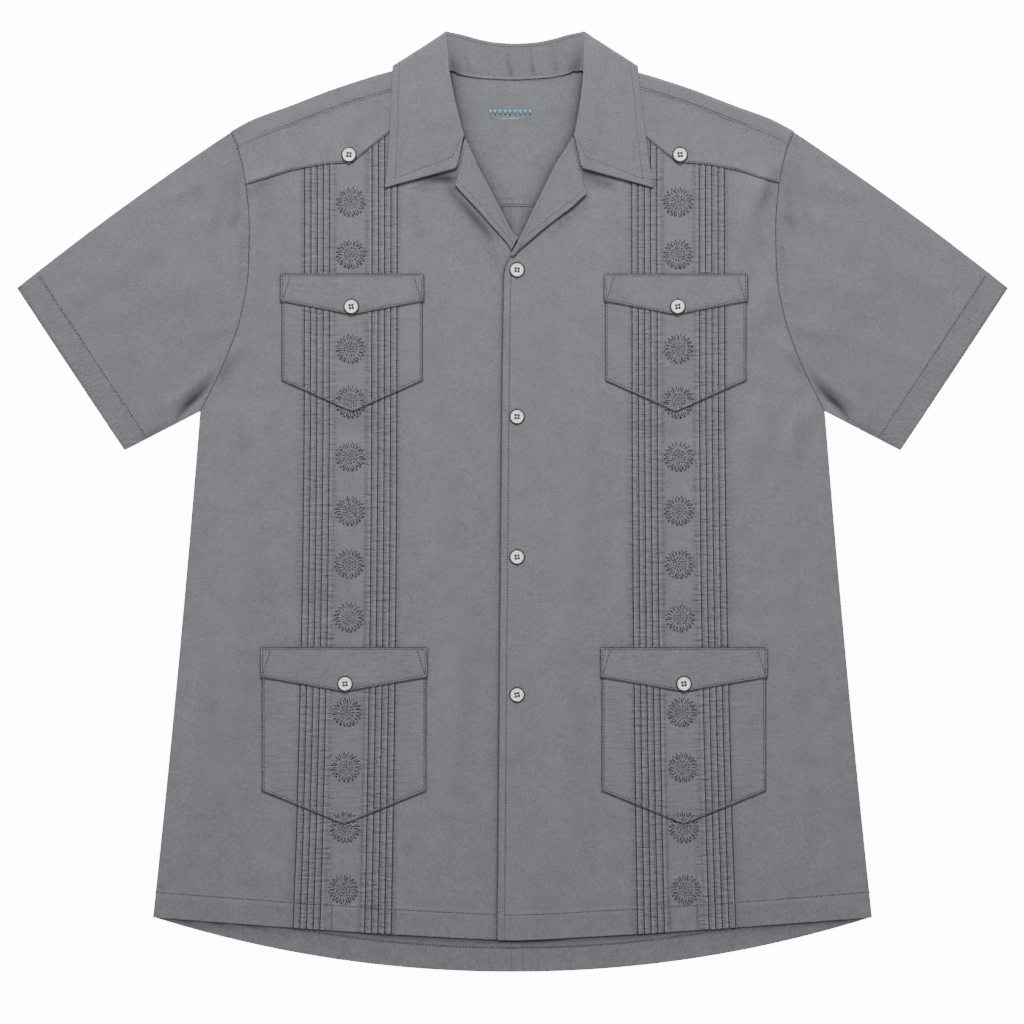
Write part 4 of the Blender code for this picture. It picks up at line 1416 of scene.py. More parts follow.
@dataclass
class Front:
    """One front with its tucks, hem, lap, embroidery and yoke."""

    side: Side
    room: Workroom
    rows: int = 120
    hem_depth: float = 22.6
    between: int = 14
    placket_stitch: float = 6.2
    rosettes: tuple[float, ...] = (263.4, 217.4, 86.0, 39.4, -8.1, -54.8, -101.9, -287.0, -340.8)

    def mid(self, x: Array, y: Array) -> Array:
        """Height of the middle of the cloth away from its tucks, at signed x."""
        out = np.abs(x) if self.side is Side.LEFT else x
        lift = STEP * 1.25 * OUTLINE.lift(x, y)
        return FRONT_MID + OUTLINE.lap(out, self.side) + lift + GROUND.height(x, y)

    def tuck_height(self, x: Array, y: Array) -> Array:
        """How far the tucks stand above the cloth at signed x."""
        down = TUCKS.line_x(TUCKS.inner, y, self.side) - TUCKS.shift(self.side) - TUCKS.inner
        more = down / TUCKS.flare * TUCKS.flare_more
        span = TUCKS.outer - TUCKS.inner
        out = np.abs(x) - TUCKS.shift(self.side) - down + more * TUCKS.inner / span
        start = out / (1 + more / span)
        starts, heights, _ = TUCKS.columns()
        return np.interp(start, starts, heights, left=0.0, right=0.0)

    def top(self, x: Array, y: Array) -> Array:
        """Height of the cloth's face at signed x."""
        return self.mid(x, y) + self.tuck_height(x, y) + HALF_CLOTH

    def grid(self) -> tuple[Array, Array, Array, Array]:
        """Grid of the front, from the forward seam to the hem.

        Every column keeps its place across the front while y runs from the seam to the hem;
        the two are found together by repeating the steps.

        Returns:
            Distance from the centre, y, tuck height and tone.
        """
        starts, heights, tones = TUCKS.columns()
        share = shares(720.0, self.rows)
        y = 280 - 640 * share
        width, more = starts.size, self.between
        half = width // 2
        for _ in range(SETTLING):
            first, last = y[:, :1], y[:, -1:]
            outer = OUTLINE.edge_x(last) - SEAM
            block = y[:, -width - more - 18:-18]
            if y.shape[1] == 1:
                block = np.repeat(first, width + more, axis=1)
            tuck_y = np.hstack([block[:, :half], block[:, half + more:]])
            tucks = TUCKS.line_x(starts[None, :], tuck_y, self.side)
            near, far = tucks[:, half - 1:half], tucks[:, half:half + 1]
            middle = near + (far - near) * np.linspace(0, 1, more + 2)[1:-1]
            start = OUTLINE.inner_x(self.side, first)[:, 0]
            lines = []
            if self.side is Side.LEFT:
                lap = np.maximum(-read_back(OUTLINE.right_edge, first[:, 0]), start + 1.5)
                steps = (-0.6, 0.1, 0.7, 1.5, 3.0, 6.0)
                lines = [with_edges(start, lap - 0.9, 5, last=False).T,
                         lap[:, None] + np.array(steps)]
                start = lap + 12.0
            left = with_edges(start, tucks[:, 0], 22, self.side is Side.RIGHT, False)[:-1].T
            left = np.hstack([*lines, left])
            right = with_edges(tucks[:, -1], outer[:, 0], 15, first=False)[1:].T
            x = np.hstack([left, tucks[:, :half], middle, tucks[:, half:], right])
            top = OUTLINE.forward_seam_y(x[:1], self.side) - SEAM
            bottom = OUTLINE.front_hem_y(x[-1:])
            y = top + (bottom - top) * share
        parts = (left, middle, right)
        return x, y, TUCKS.among(parts, heights, 0.0), TUCKS.among(parts, tones, 1.0)

    def cloth(self) -> Patch:
        """The patch of the front, with painted shade along its seams and a painted shadow beside
        the lap.
        """
        x, y, rise, tone = self.grid()
        world = self.side.value * x
        mid = self.mid(world, y) + rise
        hem = y - OUTLINE.front_hem_y(x)
        mid = mid + 0.1 * ease((self.hem_depth - hem) / 1.5)
        # Painted shade in the groove of the hem's stitches, times the painted shadow beside the
        # lap.
        groove = 1 - 0.12 * bell(hem, 0.9, self.hem_depth)
        shade = tone * groove * self.shadow(world, y)
        pucker = self.tuck_zone(world, y)
        return flat_patch(world, y, mid, shade,
                          np.where(pucker > 0.1, pucker, -0.55 * ease((25 - hem) / 3)))

    def shadow(self, x: Array, y: Array) -> Array:
        """Painted shadow on the cloth where it lies in the fold beside the lap, darkest against the
        edge.
        """
        if self.side is Side.RIGHT:
            return np.ones(np.broadcast(x, y).shape)
        gap = read_back(OUTLINE.right_edge, y) - x
        beside = np.maximum(gap, 0)
        inside = np.exp(-(beside / 1.1)) * 0.62 + np.exp(-(beside / 5.0)) * 0.14
        return 1 - inside * (gap > -1.0)

    def tuck_zone(self, x: Array, y: Array) -> Array:
        """How much the cloth puckers from its tucks: fully over both groups, less between them."""
        out = np.abs(x) - TUCKS.line_x(TUCKS.inner, y, self.side)
        width = (TUCKS.count - 1) * TUCKS.pitch + TUCKS.sewn
        second = out - (TUCKS.outer - TUCKS.inner) + TUCKS.sewn
        first = ease((out + 4) / 4) * ease((width + 4 - out) / 4)
        other = ease((second + 4) / 4) * ease((width + 4 - second) / 4)
        between = 0.05 * ease(out / 4) * ease((86 - out) / 4)
        return np.maximum.reduce([first, other, between])

    def seams(self) -> Bits:
        """Stitches of the hem, the placket and the tucks."""
        bits, sign = Bits(), self.side.value
        xs = np.linspace(-self.placket_stitch - 3 if self.side is Side.RIGHT else 0.0, 314, 700)
        xs = xs[(sign * xs > -8)] if self.side is Side.RIGHT else xs
        ys = OUTLINE.front_hem_y(xs) + self.hem_depth
        world = sign * xs
        STITCH.run(bits, laid(world, ys, self.top, 0.1), tone=0.9)
        self.puckers(bits, world, ys)
        for fold, way in TUCKS.folds():
            y = np.linspace(300.0, OUTLINE.hem_corner[1] - 8, 260)
            x = sign * TUCKS.line_x(fold + way * TUCKS.sewn, y, self.side)
            TUCK_STITCH.run(bits, laid(x, y, self.top))
        if self.side is Side.RIGHT:
            y = np.linspace(206.0, OUTLINE.front_hem_y(np.array(10.0)) + 1.5, 300)
            x = OUTLINE.inner_x(self.side, y) + self.placket_stitch
            STITCH.run(bits, laid(x, y, self.top), tone=0.86)
            # Painted shadow in the gap beside the lap's edge, and a painted highlight on its fold.
            for line, shift, rise in ((GAP_SHADOW, -0.3, -0.3), (FOLD_HIGHLIGHT, 0.75, 0.0)):
                line.run(bits, laid(OUTLINE.inner_x(self.side, y) + shift, y, self.top, rise))
        return bits

    def puckers(self, bits: Bits, x: Array, y: Array) -> None:
        """Little slanting puckers that the hem's stitches pull up, as dark bars of painted shade
        beside light.
        """
        rng = np.random.default_rng(5 + self.side.value)
        take = np.arange(6, len(x) - 4, 7)
        turn = rng.uniform(0.9, 1.5, take.size)
        along = np.stack([np.cos(turn), np.sin(turn), np.zeros(take.size)], 1)
        centres = np.stack([x[take], y[take] + rng.uniform(-0.5, 0.5, take.size), x[take] * 0], 1)
        centres[:, 2] = self.top(centres[:, 0], centres[:, 1]) + 0.02
        bits.add(*bars(centres, along, (1.9, 0.45, 0.2)), rng.uniform(0.45, 0.75, take.size))

    def embroider(self, name: str, ys: Sequence[float], top: Surface, seed: int = 0,
                  end: Callable[[Array], Array] | None = None) -> None:
        """Make rosettes down the strip between the two groups of tucks.

        Args:
            name: name of their object.
            ys: Y of each.
            top: height of the cloth under them.
            seed: start of their seeds, which are SEED_STEP apart.
            end: Y at which the cloth ends, at x.
        """
        bits = Bits()
        for number, y in enumerate(ys):
            x = self.side.value * float(TUCKS.line_x(TUCKS.middle(), np.array(y), self.side))
            ROSETTE.sew(bits, x, y, top, seed + SEED_STEP * number + 2 + self.side.value, end)
        self.room.trim(name, bits)

    def yoke_top(self, x: Array, y: Array) -> Array:
        """Height of the face of the yoke over this front."""
        lift = STEP * 1.45 * OUTLINE.lift(x, y)
        return ON_TUCKS_MID + lift + GROUND.height(x, y) + HALF_CLOTH

    def yoke_edge(self, out: Array) -> Array:
        """Y of the yoke's lower edge: straight down to its point, then a soft curve outwards."""
        rows = np.array(OUTLINE.yoke_edge)
        place = out - TUCKS.shift(self.side)
        curve = smooth(rows[2:, 0], rows[2:, 1], place)
        return np.where(place < rows[2, 0], np.interp(place, rows[:3, 0], rows[:3, 1]), curve)

    def yoke(self) -> tuple[Patch, Bits]:
        """The pointed yoke and its stitches."""
        sign = self.side.value
        shift = TUCKS.shift(self.side)
        point = 141.0 + shift
        share = shares(80.0, 26)
        y = np.full((len(share), 1), 330.0)
        for _ in range(SETTLING):
            inner = OUTLINE.inner_x(self.side, y[:, :1])
            outer = OUTLINE.edge_x(y[:, -1:]) - SEAM
            left = with_edges(inner[:, 0], np.full(len(inner), point), 22, last=False).T
            right = with_edges(np.full(len(outer), point), outer[:, 0], 22, first=False)[1:].T
            x = np.hstack([left, right])
            top = OUTLINE.forward_seam_y(x[:1], self.side) - SEAM
            bottom = self.yoke_edge(x[-1:])
            y = top + (bottom - top) * share
        world = sign * x
        mid = self.yoke_top(world, y) - HALF_CLOTH
        bits = Bits()
        xs = np.linspace(74.0, 232.0, 300)
        ys = self.yoke_edge(xs) + 1.5
        keep = (ys < OUTLINE.forward_seam_y(xs, self.side) - 2) & (OUTLINE.edge_x(ys) > xs + 1)
        line = sign * xs[keep]
        STITCH.run(bits, laid(line, ys[keep], self.yoke_top), tone=0.82)
        ys = OUTLINE.forward_seam_y(xs + 10, self.side) - 1.8
        line = sign * (xs + 10)
        STITCH.run(bits, laid(line, ys, self.yoke_top), tone=0.86)
        return flat_patch(world, y, mid), bits

    def make(self) -> None:
        """Make the front, its embroidery and its yoke."""
        word = self.side.word
        self.room.lay(f"cloth_front_{word}", [self.cloth()], f"front_{word}", ["back", "back_yoke"],
                      self.seams())
        self.embroider(f"embroidery_front_{word}", self.rosettes, self.top)
        patch, bits = self.yoke()
        self.room.lay(f"cloth_yoke_{word}", [patch], f"front_yoke_{word}", [f"front_{word}"], bits)


# ---------------------------------------------------------------- pockets


@dataclass(frozen=True)
class PocketSize:
    """Places of a pocket's edges and points, as distances from the centre and heights."""

    inner: float
    outer: float
    top: float
    corner: float
    tip: float
    flap_corner: float
    flap_tip: float
    rosettes: tuple[float, ...]


@dataclass
class Pocket:
    """A patch pocket with tucks and rosettes, under a plain flap with a button."""

    front: Front
    level: Level
    size: PocketSize
    shift_right: float = 2.5
    flap_over: float = 1.2
    stitch_in: float = 1.6
    brace: Triple = (8.6, 2.0, 22.5)

    @property
    def side(self) -> Side:
        """The front that it is sewn on."""
        return self.front.side

    @property
    def shift(self) -> float:
        """How much further out it lies on the right."""
        return self.shift_right if self.side is Side.RIGHT else 0.0

    @property
    def tip_x(self) -> float:
        """Distance of the points of the pocket and the flap from the centre."""
        return (self.size.inner + self.size.outer) / 2 + self.shift

    def bottom(self, out: Array) -> Array:
        """Y of the pocket's lower edge: two straight slopes to its point."""
        reach = (self.size.outer - self.size.inner) / 2
        away = np.abs(out - self.tip_x) / reach
        return self.size.tip + (self.size.corner - self.size.tip) * away

    def flap_bottom(self, out: Array) -> Array:
        """Y of the flap's lower edge: two straight slopes to its point."""
        reach = (self.size.outer - self.size.inner) / 2 + self.flap_over
        away = np.abs(out - self.tip_x) / reach
        return self.size.flap_tip + (self.size.flap_corner - self.size.flap_tip) * away

    def sag(self, x: Array, y: Array) -> Array:
        """Soft waves of the pocket's own cloth: level ripples that fade out at its edges."""
        out = self.side.value * x
        low, high = self.size.inner + self.shift, self.size.outer + self.shift
        inside = ease((out - low) / 14) * ease((high - out) / 14)
        inside = inside * ease((y - self.bottom(out)) / 16)
        phase = y / 17.0 + out / 90.0 + self.side.value
        return inside * (0.9 + 0.35 * np.sin(phase) * np.sin(out / 31.0 + 1.0))

    def top(self, x: Array, y: Array) -> Array:
        """Height of the face of the pocket at signed x."""
        base = ON_TUCKS_MID + GROUND.height(x, y) + self.sag(x, y) + HALF_CLOTH
        return base + self.front.tuck_height(x, y)

    def flap_top(self, x: Array, y: Array) -> Array:
        """Height of the face of the flap at signed x."""
        out = self.side.value * x
        droop = 0.5 * ease((y - self.flap_bottom(out)) / 8.0)
        return FLAP_MID + GROUND.height(x, y) + self.sag(x, y) * 0.8 + droop + HALF_CLOTH

    def body(self) -> Patch:
        """The pocket's cloth."""
        starts, heights, tones = TUCKS.columns()
        half = starts.size // 2
        share = shares(100.0, 44)
        top = self.size.top - self.flap_over
        y = top + (self.size.corner - top) * share
        ys = np.repeat(y, starts.size, axis=1)
        inner = np.full(len(y), self.size.inner + self.shift)
        outer = np.full(len(y), self.size.outer + self.shift)
        for _ in range(4):
            tucks = TUCKS.line_x(starts[None, :], ys, self.side)
            left = with_edges(inner, tucks[:, 0], 8, last=False)[:-1].T
            middle = np.array([tucks[:, half - 1] + (tucks[:, half] - tucks[:, half - 1]) * t
                               for t in np.linspace(0, 1, 10)[1:-1]]).T
            right = with_edges(tucks[:, -1], outer, 8, first=False)[1:].T
            x = np.hstack([left, tucks[:, :half], middle, tucks[:, half:], right])
            full = top + (self.bottom(x[-1:]) - top) * share
            ys = np.hstack([full[:, left.shape[1]:left.shape[1] + half],
                            full[:, left.shape[1] + half + middle.shape[1]:-right.shape[1]]])
        parts = (left, middle, right)
        world = self.side.value * x
        mid = ON_TUCKS_MID + GROUND.height(world, full) + self.sag(world, full)
        mid = mid + TUCKS.among(parts, heights, 0.0)
        pucker = np.maximum(self.front.tuck_zone(world, full), 0.3)
        return flat_patch(world, full, mid, TUCKS.among(parts, tones, 1.0), pucker)

    def flap(self) -> Patch:
        """The flap's cloth."""
        low = np.array([self.size.inner + self.shift - self.flap_over])
        high = np.array([self.size.outer + self.shift + self.flap_over])
        tip = np.array([self.tip_x])
        left = with_edges(low, tip, 34, last=False)
        right = with_edges(tip, high, 34, first=False)[1:]
        x = np.concatenate([left, right]).T
        share = shares(30.0, 22)
        y = self.size.top + (self.flap_bottom(x) - self.size.top) * share
        x = np.repeat(x, len(share), axis=0)
        world = self.side.value * x
        return flat_patch(world, y, self.flap_top(world, y) - HALF_CLOTH, 1.0, 0.25)

    def path(self, corners: Sequence[tuple[float, float]], top: Surface) -> Array:
        """A line on the cloth through corners given by distance from the centre and y."""
        parts = [straight(*a, *b, 50) for a, b in zip(corners, corners[1:])]
        x = self.side.value * np.concatenate([part[0] for part in parts])
        y = np.concatenate([part[1] for part in parts])
        return laid(x, y, top)

    def border(self, sides: tuple[float, float], ys: Triple, inset: float) -> list[Rows]:
        """The straight lines down one side, to the point and up the other side.

        Args:
            sides: the inner and outer distance from the centre.
            ys: Y of the upper ends, of the lower corners and of the point.
            inset: how far inside the edges the lines lie.

        Returns:
            The two ends of each line.
        """
        low, high = sides[0] + inset, sides[1] - inset
        top, corner, tip = ys[0], ys[1] + inset, ys[2] + inset
        corners = [(low, top), (low, corner), (self.tip_x, tip), (high, corner), (high, top)]
        return list(zip(corners, corners[1:]))

    def seams(self) -> tuple[Bits, Bits]:
        """Stitches of the pocket and of its flap."""
        low, high = self.size.inner + self.shift, self.size.outer + self.shift
        body, flap = Bits(), Bits()
        inset = self.stitch_in
        size = self.size
        for line in self.border((low, high), (size.top - 4, size.corner, size.tip), inset):
            STITCH.run(body, self.path(line, self.top), tone=0.95)
        self.rims(body, (low, high), size.corner, size.tip, self.top)
        for fold, way in TUCKS.folds():
            start = fold + way * TUCKS.sewn
            tip = float(TUCKS.line_x(start, np.array(self.size.corner), self.side))
            y = np.linspace(self.size.flap_corner, float(self.bottom(np.array(tip))) + 2, 80)
            x = self.side.value * TUCKS.line_x(start, y, self.side)
            TUCK_STITCH.run(body, laid(x, y, self.top))
        low, high = low - self.flap_over, high + self.flap_over
        border = self.border((low, high), (size.top - 1, size.flap_corner, size.flap_tip), inset)
        near, far, deep = self.brace
        brace = [(low + near, size.top - 1.5), (low + far, size.top - deep)]
        braces = [brace, [(low + high - x, y) for x, y in brace]]
        y = size.top - 1.3
        for line in [*border, *braces, [(low + 1.5, y), (high - 1.5, y)]]:
            STITCH.run(flap, self.path(line, self.flap_top), tone=0.95)
        # Painted shade in the grooves of the braces.
        for line in braces:
            GAP_SHADOW.run(flap, self.path(line, self.flap_top) - 0.02 * UP, tone=0.6)
        self.rims(flap, (low, high), size.flap_corner, size.flap_tip, self.flap_top)
        # Painted shadow along the flap's top.
        y = size.top + 0.3
        GAP_SHADOW.run(flap, self.path([(low, y), (high, y)], self.flap_top))
        return body, flap

    def rims(self, bits: Bits, sides: tuple[float, float], corner: float, tip: float,
             top: Surface) -> None:
        """Add the painted shadow in the gap just outside an edge of this shape, and the painted
        highlight on the fold just inside it.

        Args:
            bits: where they are added.
            sides: its inner and outer distance from the centre.
            corner: Y of its lower corners.
            tip: Y of its point.
            top: height of its face.
        """
        for line, inset, drop in ((GAP_SHADOW, -0.35, 0.35), (FOLD_HIGHLIGHT, 0.7, 0.0)):
            for ends in self.border(sides, (self.size.top, corner, tip), inset):
                line.run(bits, self.path(ends, top) - drop * UP)

    def make(self) -> None:
        """Make the pocket, its embroidery and its flap."""
        name = f"{self.level.value}_{self.side.word}"
        body_bits, flap_bits = self.seams()
        front = f"front_{self.side.word}"
        self.front.room.lay(f"cloth_pocket_{name}", [self.body()], f"pocket_{name}", [front],
                            body_bits)
        self.front.room.lay(f"cloth_flap_{name}", [self.flap()], f"flap_{name}", [f"pocket_{name}"],
                            flap_bits)
        self.front.embroider(f"embroidery_pocket_{name}", self.size.rosettes, self.top, POCKET_SEED,
                             lambda at: self.bottom(self.side.value * at))


# ---------------------------------------------------------------- back, sleeves


@dataclass
class Back:
    """The back with its pleat and its rounded tail, and the yoke folded over the shoulders."""

    room: Workroom
    # Y, then X of the left and the right side of the neck's opening.
    opening: tuple[Triple, ...] = (
        (220, 3, 3), (243, -4, 12.6), (257, -11, 18.6), (274.5, -20, 27.4), (293, -29.8, 36.4),
        (310, -37.6, 47), (318.6, -41.4, 52), (331, -45.5, 55.6), (346, -49, 58), (362, -52, 60.4),
        (380, -54.6, 62.6),
    )
    pleat: tuple[float, float] = (-1.3, 9.2)
    # The ornament inside the neck: its row, and the half sizes of its lozenges, dots and bar.
    print_row: tuple[float, float, int] = (-19.5, 15.5, 9)
    print_y: float = 343.5
    print_shift: float = 2.19
    lozenge: Triple = (1.9, 4.2, 1.0)
    dot: Triple = (0.7, 1.0, 1.0)
    bar: Triple = (20.5, 0.75, 0.8)
    bar_x: float = -2.0
    bar_y: float = 337.0
    length: float = 650.0
    rows: int = 125
    hem_depth: float = 22.0
    fold_reach: float = 1.15
    strip_start: float = 62.5
    # Where the shoulder meets the sleeve, and the X from which columns follow the body's edge.
    shoulder_end: tuple[float, float] = (247.9, 325.8)
    follow: float = 200.0
    yoke_rectangle: tuple[float, float, float, float] = (-13.6, 261.3, -0.4, 266.8)

    def top(self, x: Array, y: Array) -> Array:
        """Height of the upper side of the back or of the yoke's lower layer."""
        return BACK_MID + STEP * OUTLINE.lift(x, y) + HALF_CLOTH + 0 * x

    def cloth(self) -> Patch:
        """The back panel, with a fine groove at each edge of its pleat, darkened by painted shade.
        """
        share = shares(self.length, self.rows)
        y = OUTLINE.yoke_seam - 625 * share
        for _ in range(SETTLING):
            outer = OUTLINE.edge_x(y[:, -1:])[:, 0]
            grooves = [edge + d for edge in self.pleat for d in (-0.7, -0.25, 0.0, 0.25, 0.7)]
            inner = np.array(sorted([*np.linspace(-50, -6, 8), 4.0, *grooves,
                                     *np.linspace(16, 50, 6)]))
            inner = inner[None, :] * np.ones((len(outer), 1))
            left = with_edges(-outer, inner[:, 0], 30, last=False)[:-1].T
            right = with_edges(inner[:, -1], outer, 30, first=False)[1:].T
            x = np.hstack([left, inner, right])
            bottom = OUTLINE.back_hem_y(x[-1:])
            y = OUTLINE.yoke_seam + 0.5 + (bottom - OUTLINE.yoke_seam - 0.5) * share
        # Painted shade in the pleat's grooves and along the hem's stitches, times the painted
        # shadows of shadow().
        pit = sum(bell(x, 0.3, edge) for edge in self.pleat)
        hem = bell(y - OUTLINE.back_hem_y(x), 0.9, self.hem_depth)
        tone = (1 - 0.35 * pit) * (1 - 0.1 * hem) * self.shadow(x, y)
        pucker = -0.6 * ease((24 - y + OUTLINE.back_hem_y(x)) / 3)
        return flat_patch(x, y, BACK_MID - 0.16 * pit, tone, pucker)

    def shadow(self, x: Array, y: Array) -> Array:
        """Painted shade inside the neck, near lapels and collar, and painted shadow on the tail
        under the hem.
        """
        height, low, high = np.array(self.opening).T
        near = np.minimum(x - np.interp(y, height, low), np.interp(y, height, high) - x)
        near = np.maximum(near, 0)
        neck = (0.25 * np.exp(-near / 2.5) + 0.42 * np.exp(-near / 9.0)) * (y > 205)
        below = np.maximum(OUTLINE.front_hem_y(x) - y, 0)
        tail = (0.55 * np.exp(-below / 1.8) + 0.2 * np.exp(-below / 8.0)) * (y < -300)
        return (1 - neck) * (1 - tail)

    def seams(self) -> Bits:
        """Hem stitches on both sides of the tail."""
        bits = Bits()
        x = np.linspace(-312, 312, 900)
        y = OUTLINE.back_hem_y(x) + self.hem_depth
        STITCH.run(bits, laid(x, y, self.top, 0.06), tone=1.1)
        # A line of painted shadow just below the hem's stitches.
        GAP_SHADOW.run(bits, laid(x, y, self.top, 0.04) - [0.0, 1.0, 0.0], tone=0.6)
        self.under(bits, x, y, 0.74)
        return bits

    def under(self, bits: Bits, x: Array, y: Array, tone: float) -> None:
        """Stitches on the back's outer side, under a row on its inner side."""
        STITCH.run(bits, np.stack([x, y, 0 * x + BACK_MID - HALF_CLOTH + 0.1], 1), -UP, tone)

    def yoke(self) -> list[Patch]:
        """The yoke: its lower layer, and a strip over each shoulder to the forward seam.

        The strip runs round a half circle at the shoulder and then forward on the upper side.

        Returns:
            The patches.
        """
        end_x, end_y = self.shoulder_end
        half = np.concatenate([np.linspace(0, OUTLINE.neck_half, 34)[1:],
                               np.linspace(60.0, end_x, 48)])
        x = np.concatenate([-half[::-1], [0.0], half])
        neck = np.abs(x) <= OUTLINE.neck_half
        fold = OUTLINE.shoulder_y(x) - self.fold_reach
        top = np.where(neck, read(OUTLINE.neckline, np.abs(x)) - SEAM, fold)
        bottom = OUTLINE.yoke_seam - 0.5
        share = shares(110.0, 34)
        y = bottom + (top - bottom) * share
        wide = x * np.ones_like(share)
        outer = OUTLINE.edge_x(np.minimum(y[:, -1], end_y))
        scale = np.maximum(np.abs(x) - self.follow, 0.0) / (x.max() - self.follow)
        wide = wide + np.sign(x) * scale * (outer[:, None] - x.max())
        tone = self.shadow(wide, y)
        patches = [flat_patch(wide, y, BACK_MID + STEP * OUTLINE.lift(wide, y), tone, 0.1)]
        for side in Side:
            columns = np.linspace(self.strip_start, end_x, 60)
            columns = np.concatenate([columns[:1] + np.array([0.0, 0.1, 0.3]), columns[1:-1],
                                      columns[-1:] - np.array([0.3, 0.1, 0.0])])
            edge = OUTLINE.shoulder_y(columns) - self.fold_reach
            seam = OUTLINE.forward_seam_y(columns, side) + SEAM
            turn = np.linspace(-np.pi / 2, np.pi / 2, 9)[:, None]
            round_y = edge + (STEP / 2) * np.cos(turn) * 1.3
            round_z = BACK_MID + STEP / 2 + STEP / 2 * np.sin(turn) + 0 * edge
            ahead = with_edges(edge, seam, 12, first=False)[1:]
            ys = np.concatenate([round_y, ahead])
            zs = np.concatenate([round_z, np.full(ahead.shape, FRONT_MID)])
            outer = OUTLINE.edge_x(np.minimum(ys[:, -1:], end_y))
            scale = np.maximum(columns - self.follow, 0) / (end_x - self.follow)
            xs = side.value * (columns + scale * (outer - end_x))
            rise = STEP * OUTLINE.lift(xs[:1], edge[None, :])
            over = ease((zs - BACK_MID) / STEP)
            puff = 0.8 * bell(ys - seam, 6, 7) * over
            zs = zs + rise * (1 + 0.25 * over) + puff * (ys < edge)
            patches.append(flat_patch(xs, ys, zs))
        return patches

    def yoke_seams(self) -> Bits:
        """Stitches of the yoke seam and of the small sewn rectangle, with lines of painted shadow
        below the yoke seam and down the top of each armhole.
        """
        bits = Bits()
        x = np.linspace(-228, 228, 400)
        y = np.full_like(x, OUTLINE.yoke_seam + 2.0)
        STITCH.run(bits, laid(x, y, self.top), tone=0.78)
        # Painted shadow just below the yoke seam's stitches.
        GAP_SHADOW.run(bits, laid(x, y, self.top) - [0.0, 2.0, 0.0])
        self.under(bits, x, y, 0.78)
        # Painted shadow down the top of each armhole.
        y = np.linspace(325.6, 309.0, 20)
        for side in Side:
            x = side.value * OUTLINE.edge_x(y)
            rise = 1.25 * STEP * OUTLINE.lift(x, y) + HALF_CLOTH + 0.12
            GAP_SHADOW.run(bits, np.stack([x, y, FRONT_MID + rise], 1))
        low_x, low_y, high_x, high_y = self.yoke_rectangle
        corners = [(low_x, low_y), (high_x, low_y), (high_x, high_y), (low_x, high_y),
                   (low_x, low_y)]
        for a, b in zip(corners, corners[1:]):
            xs, ys = straight(*a, *b, 20)
            LABEL_STITCH.run(bits, laid(xs, ys, self.top))
        return bits

    def print(self) -> bpy.types.Object:
        """A plain printed ornament inside the neck: small lozenges and dots over a bar."""
        bits = Bits()
        low, high, count = self.print_row
        across = np.linspace(low, high, count)
        y = np.full(count, self.print_y)
        unit = np.array([[1.0, 0, 0], [0, 1.0, 0], [-1.0, 0, 0], [0, -1.0, 0], [0, 0, 0.12],
                         [0, 0, -0.1]])
        faces = np.array([[0, 1, 4], [1, 2, 4], [2, 3, 4], [3, 0, 4], [1, 0, 5], [2, 1, 5],
                          [3, 2, 5], [0, 3, 5]])
        between = across[:-1] + self.print_shift
        for x, level, size in (
            (across, y, self.lozenge), (between, y[:-1], self.dot),
            (np.array([self.bar_x]), np.array([self.bar_y]), self.bar),
        ):
            centres = laid(x, level, self.top, 0.02)
            bits.add(centres[:, None] + unit * np.array(size), faces, 1.0)
        return self.room.trim("neck_print", bits, self.room.ink)[0]

    def make(self) -> None:
        """Make the back, the yoke and the print inside the neck."""
        self.room.lay("cloth_back", [self.cloth()], "back", ["floor"], self.seams())
        patches = self.yoke()
        sizes = [patch.size() for patch in patches]
        width = sizes[0][0]
        length = sizes[0][1] + sizes[1][1]
        area = sum(size[2] for size in sizes)
        bits = self.yoke_seams()
        self.room.lay("cloth_back_yoke", patches, "back_yoke", ["floor"], bits,
                      (width, length, area))
        self.print()


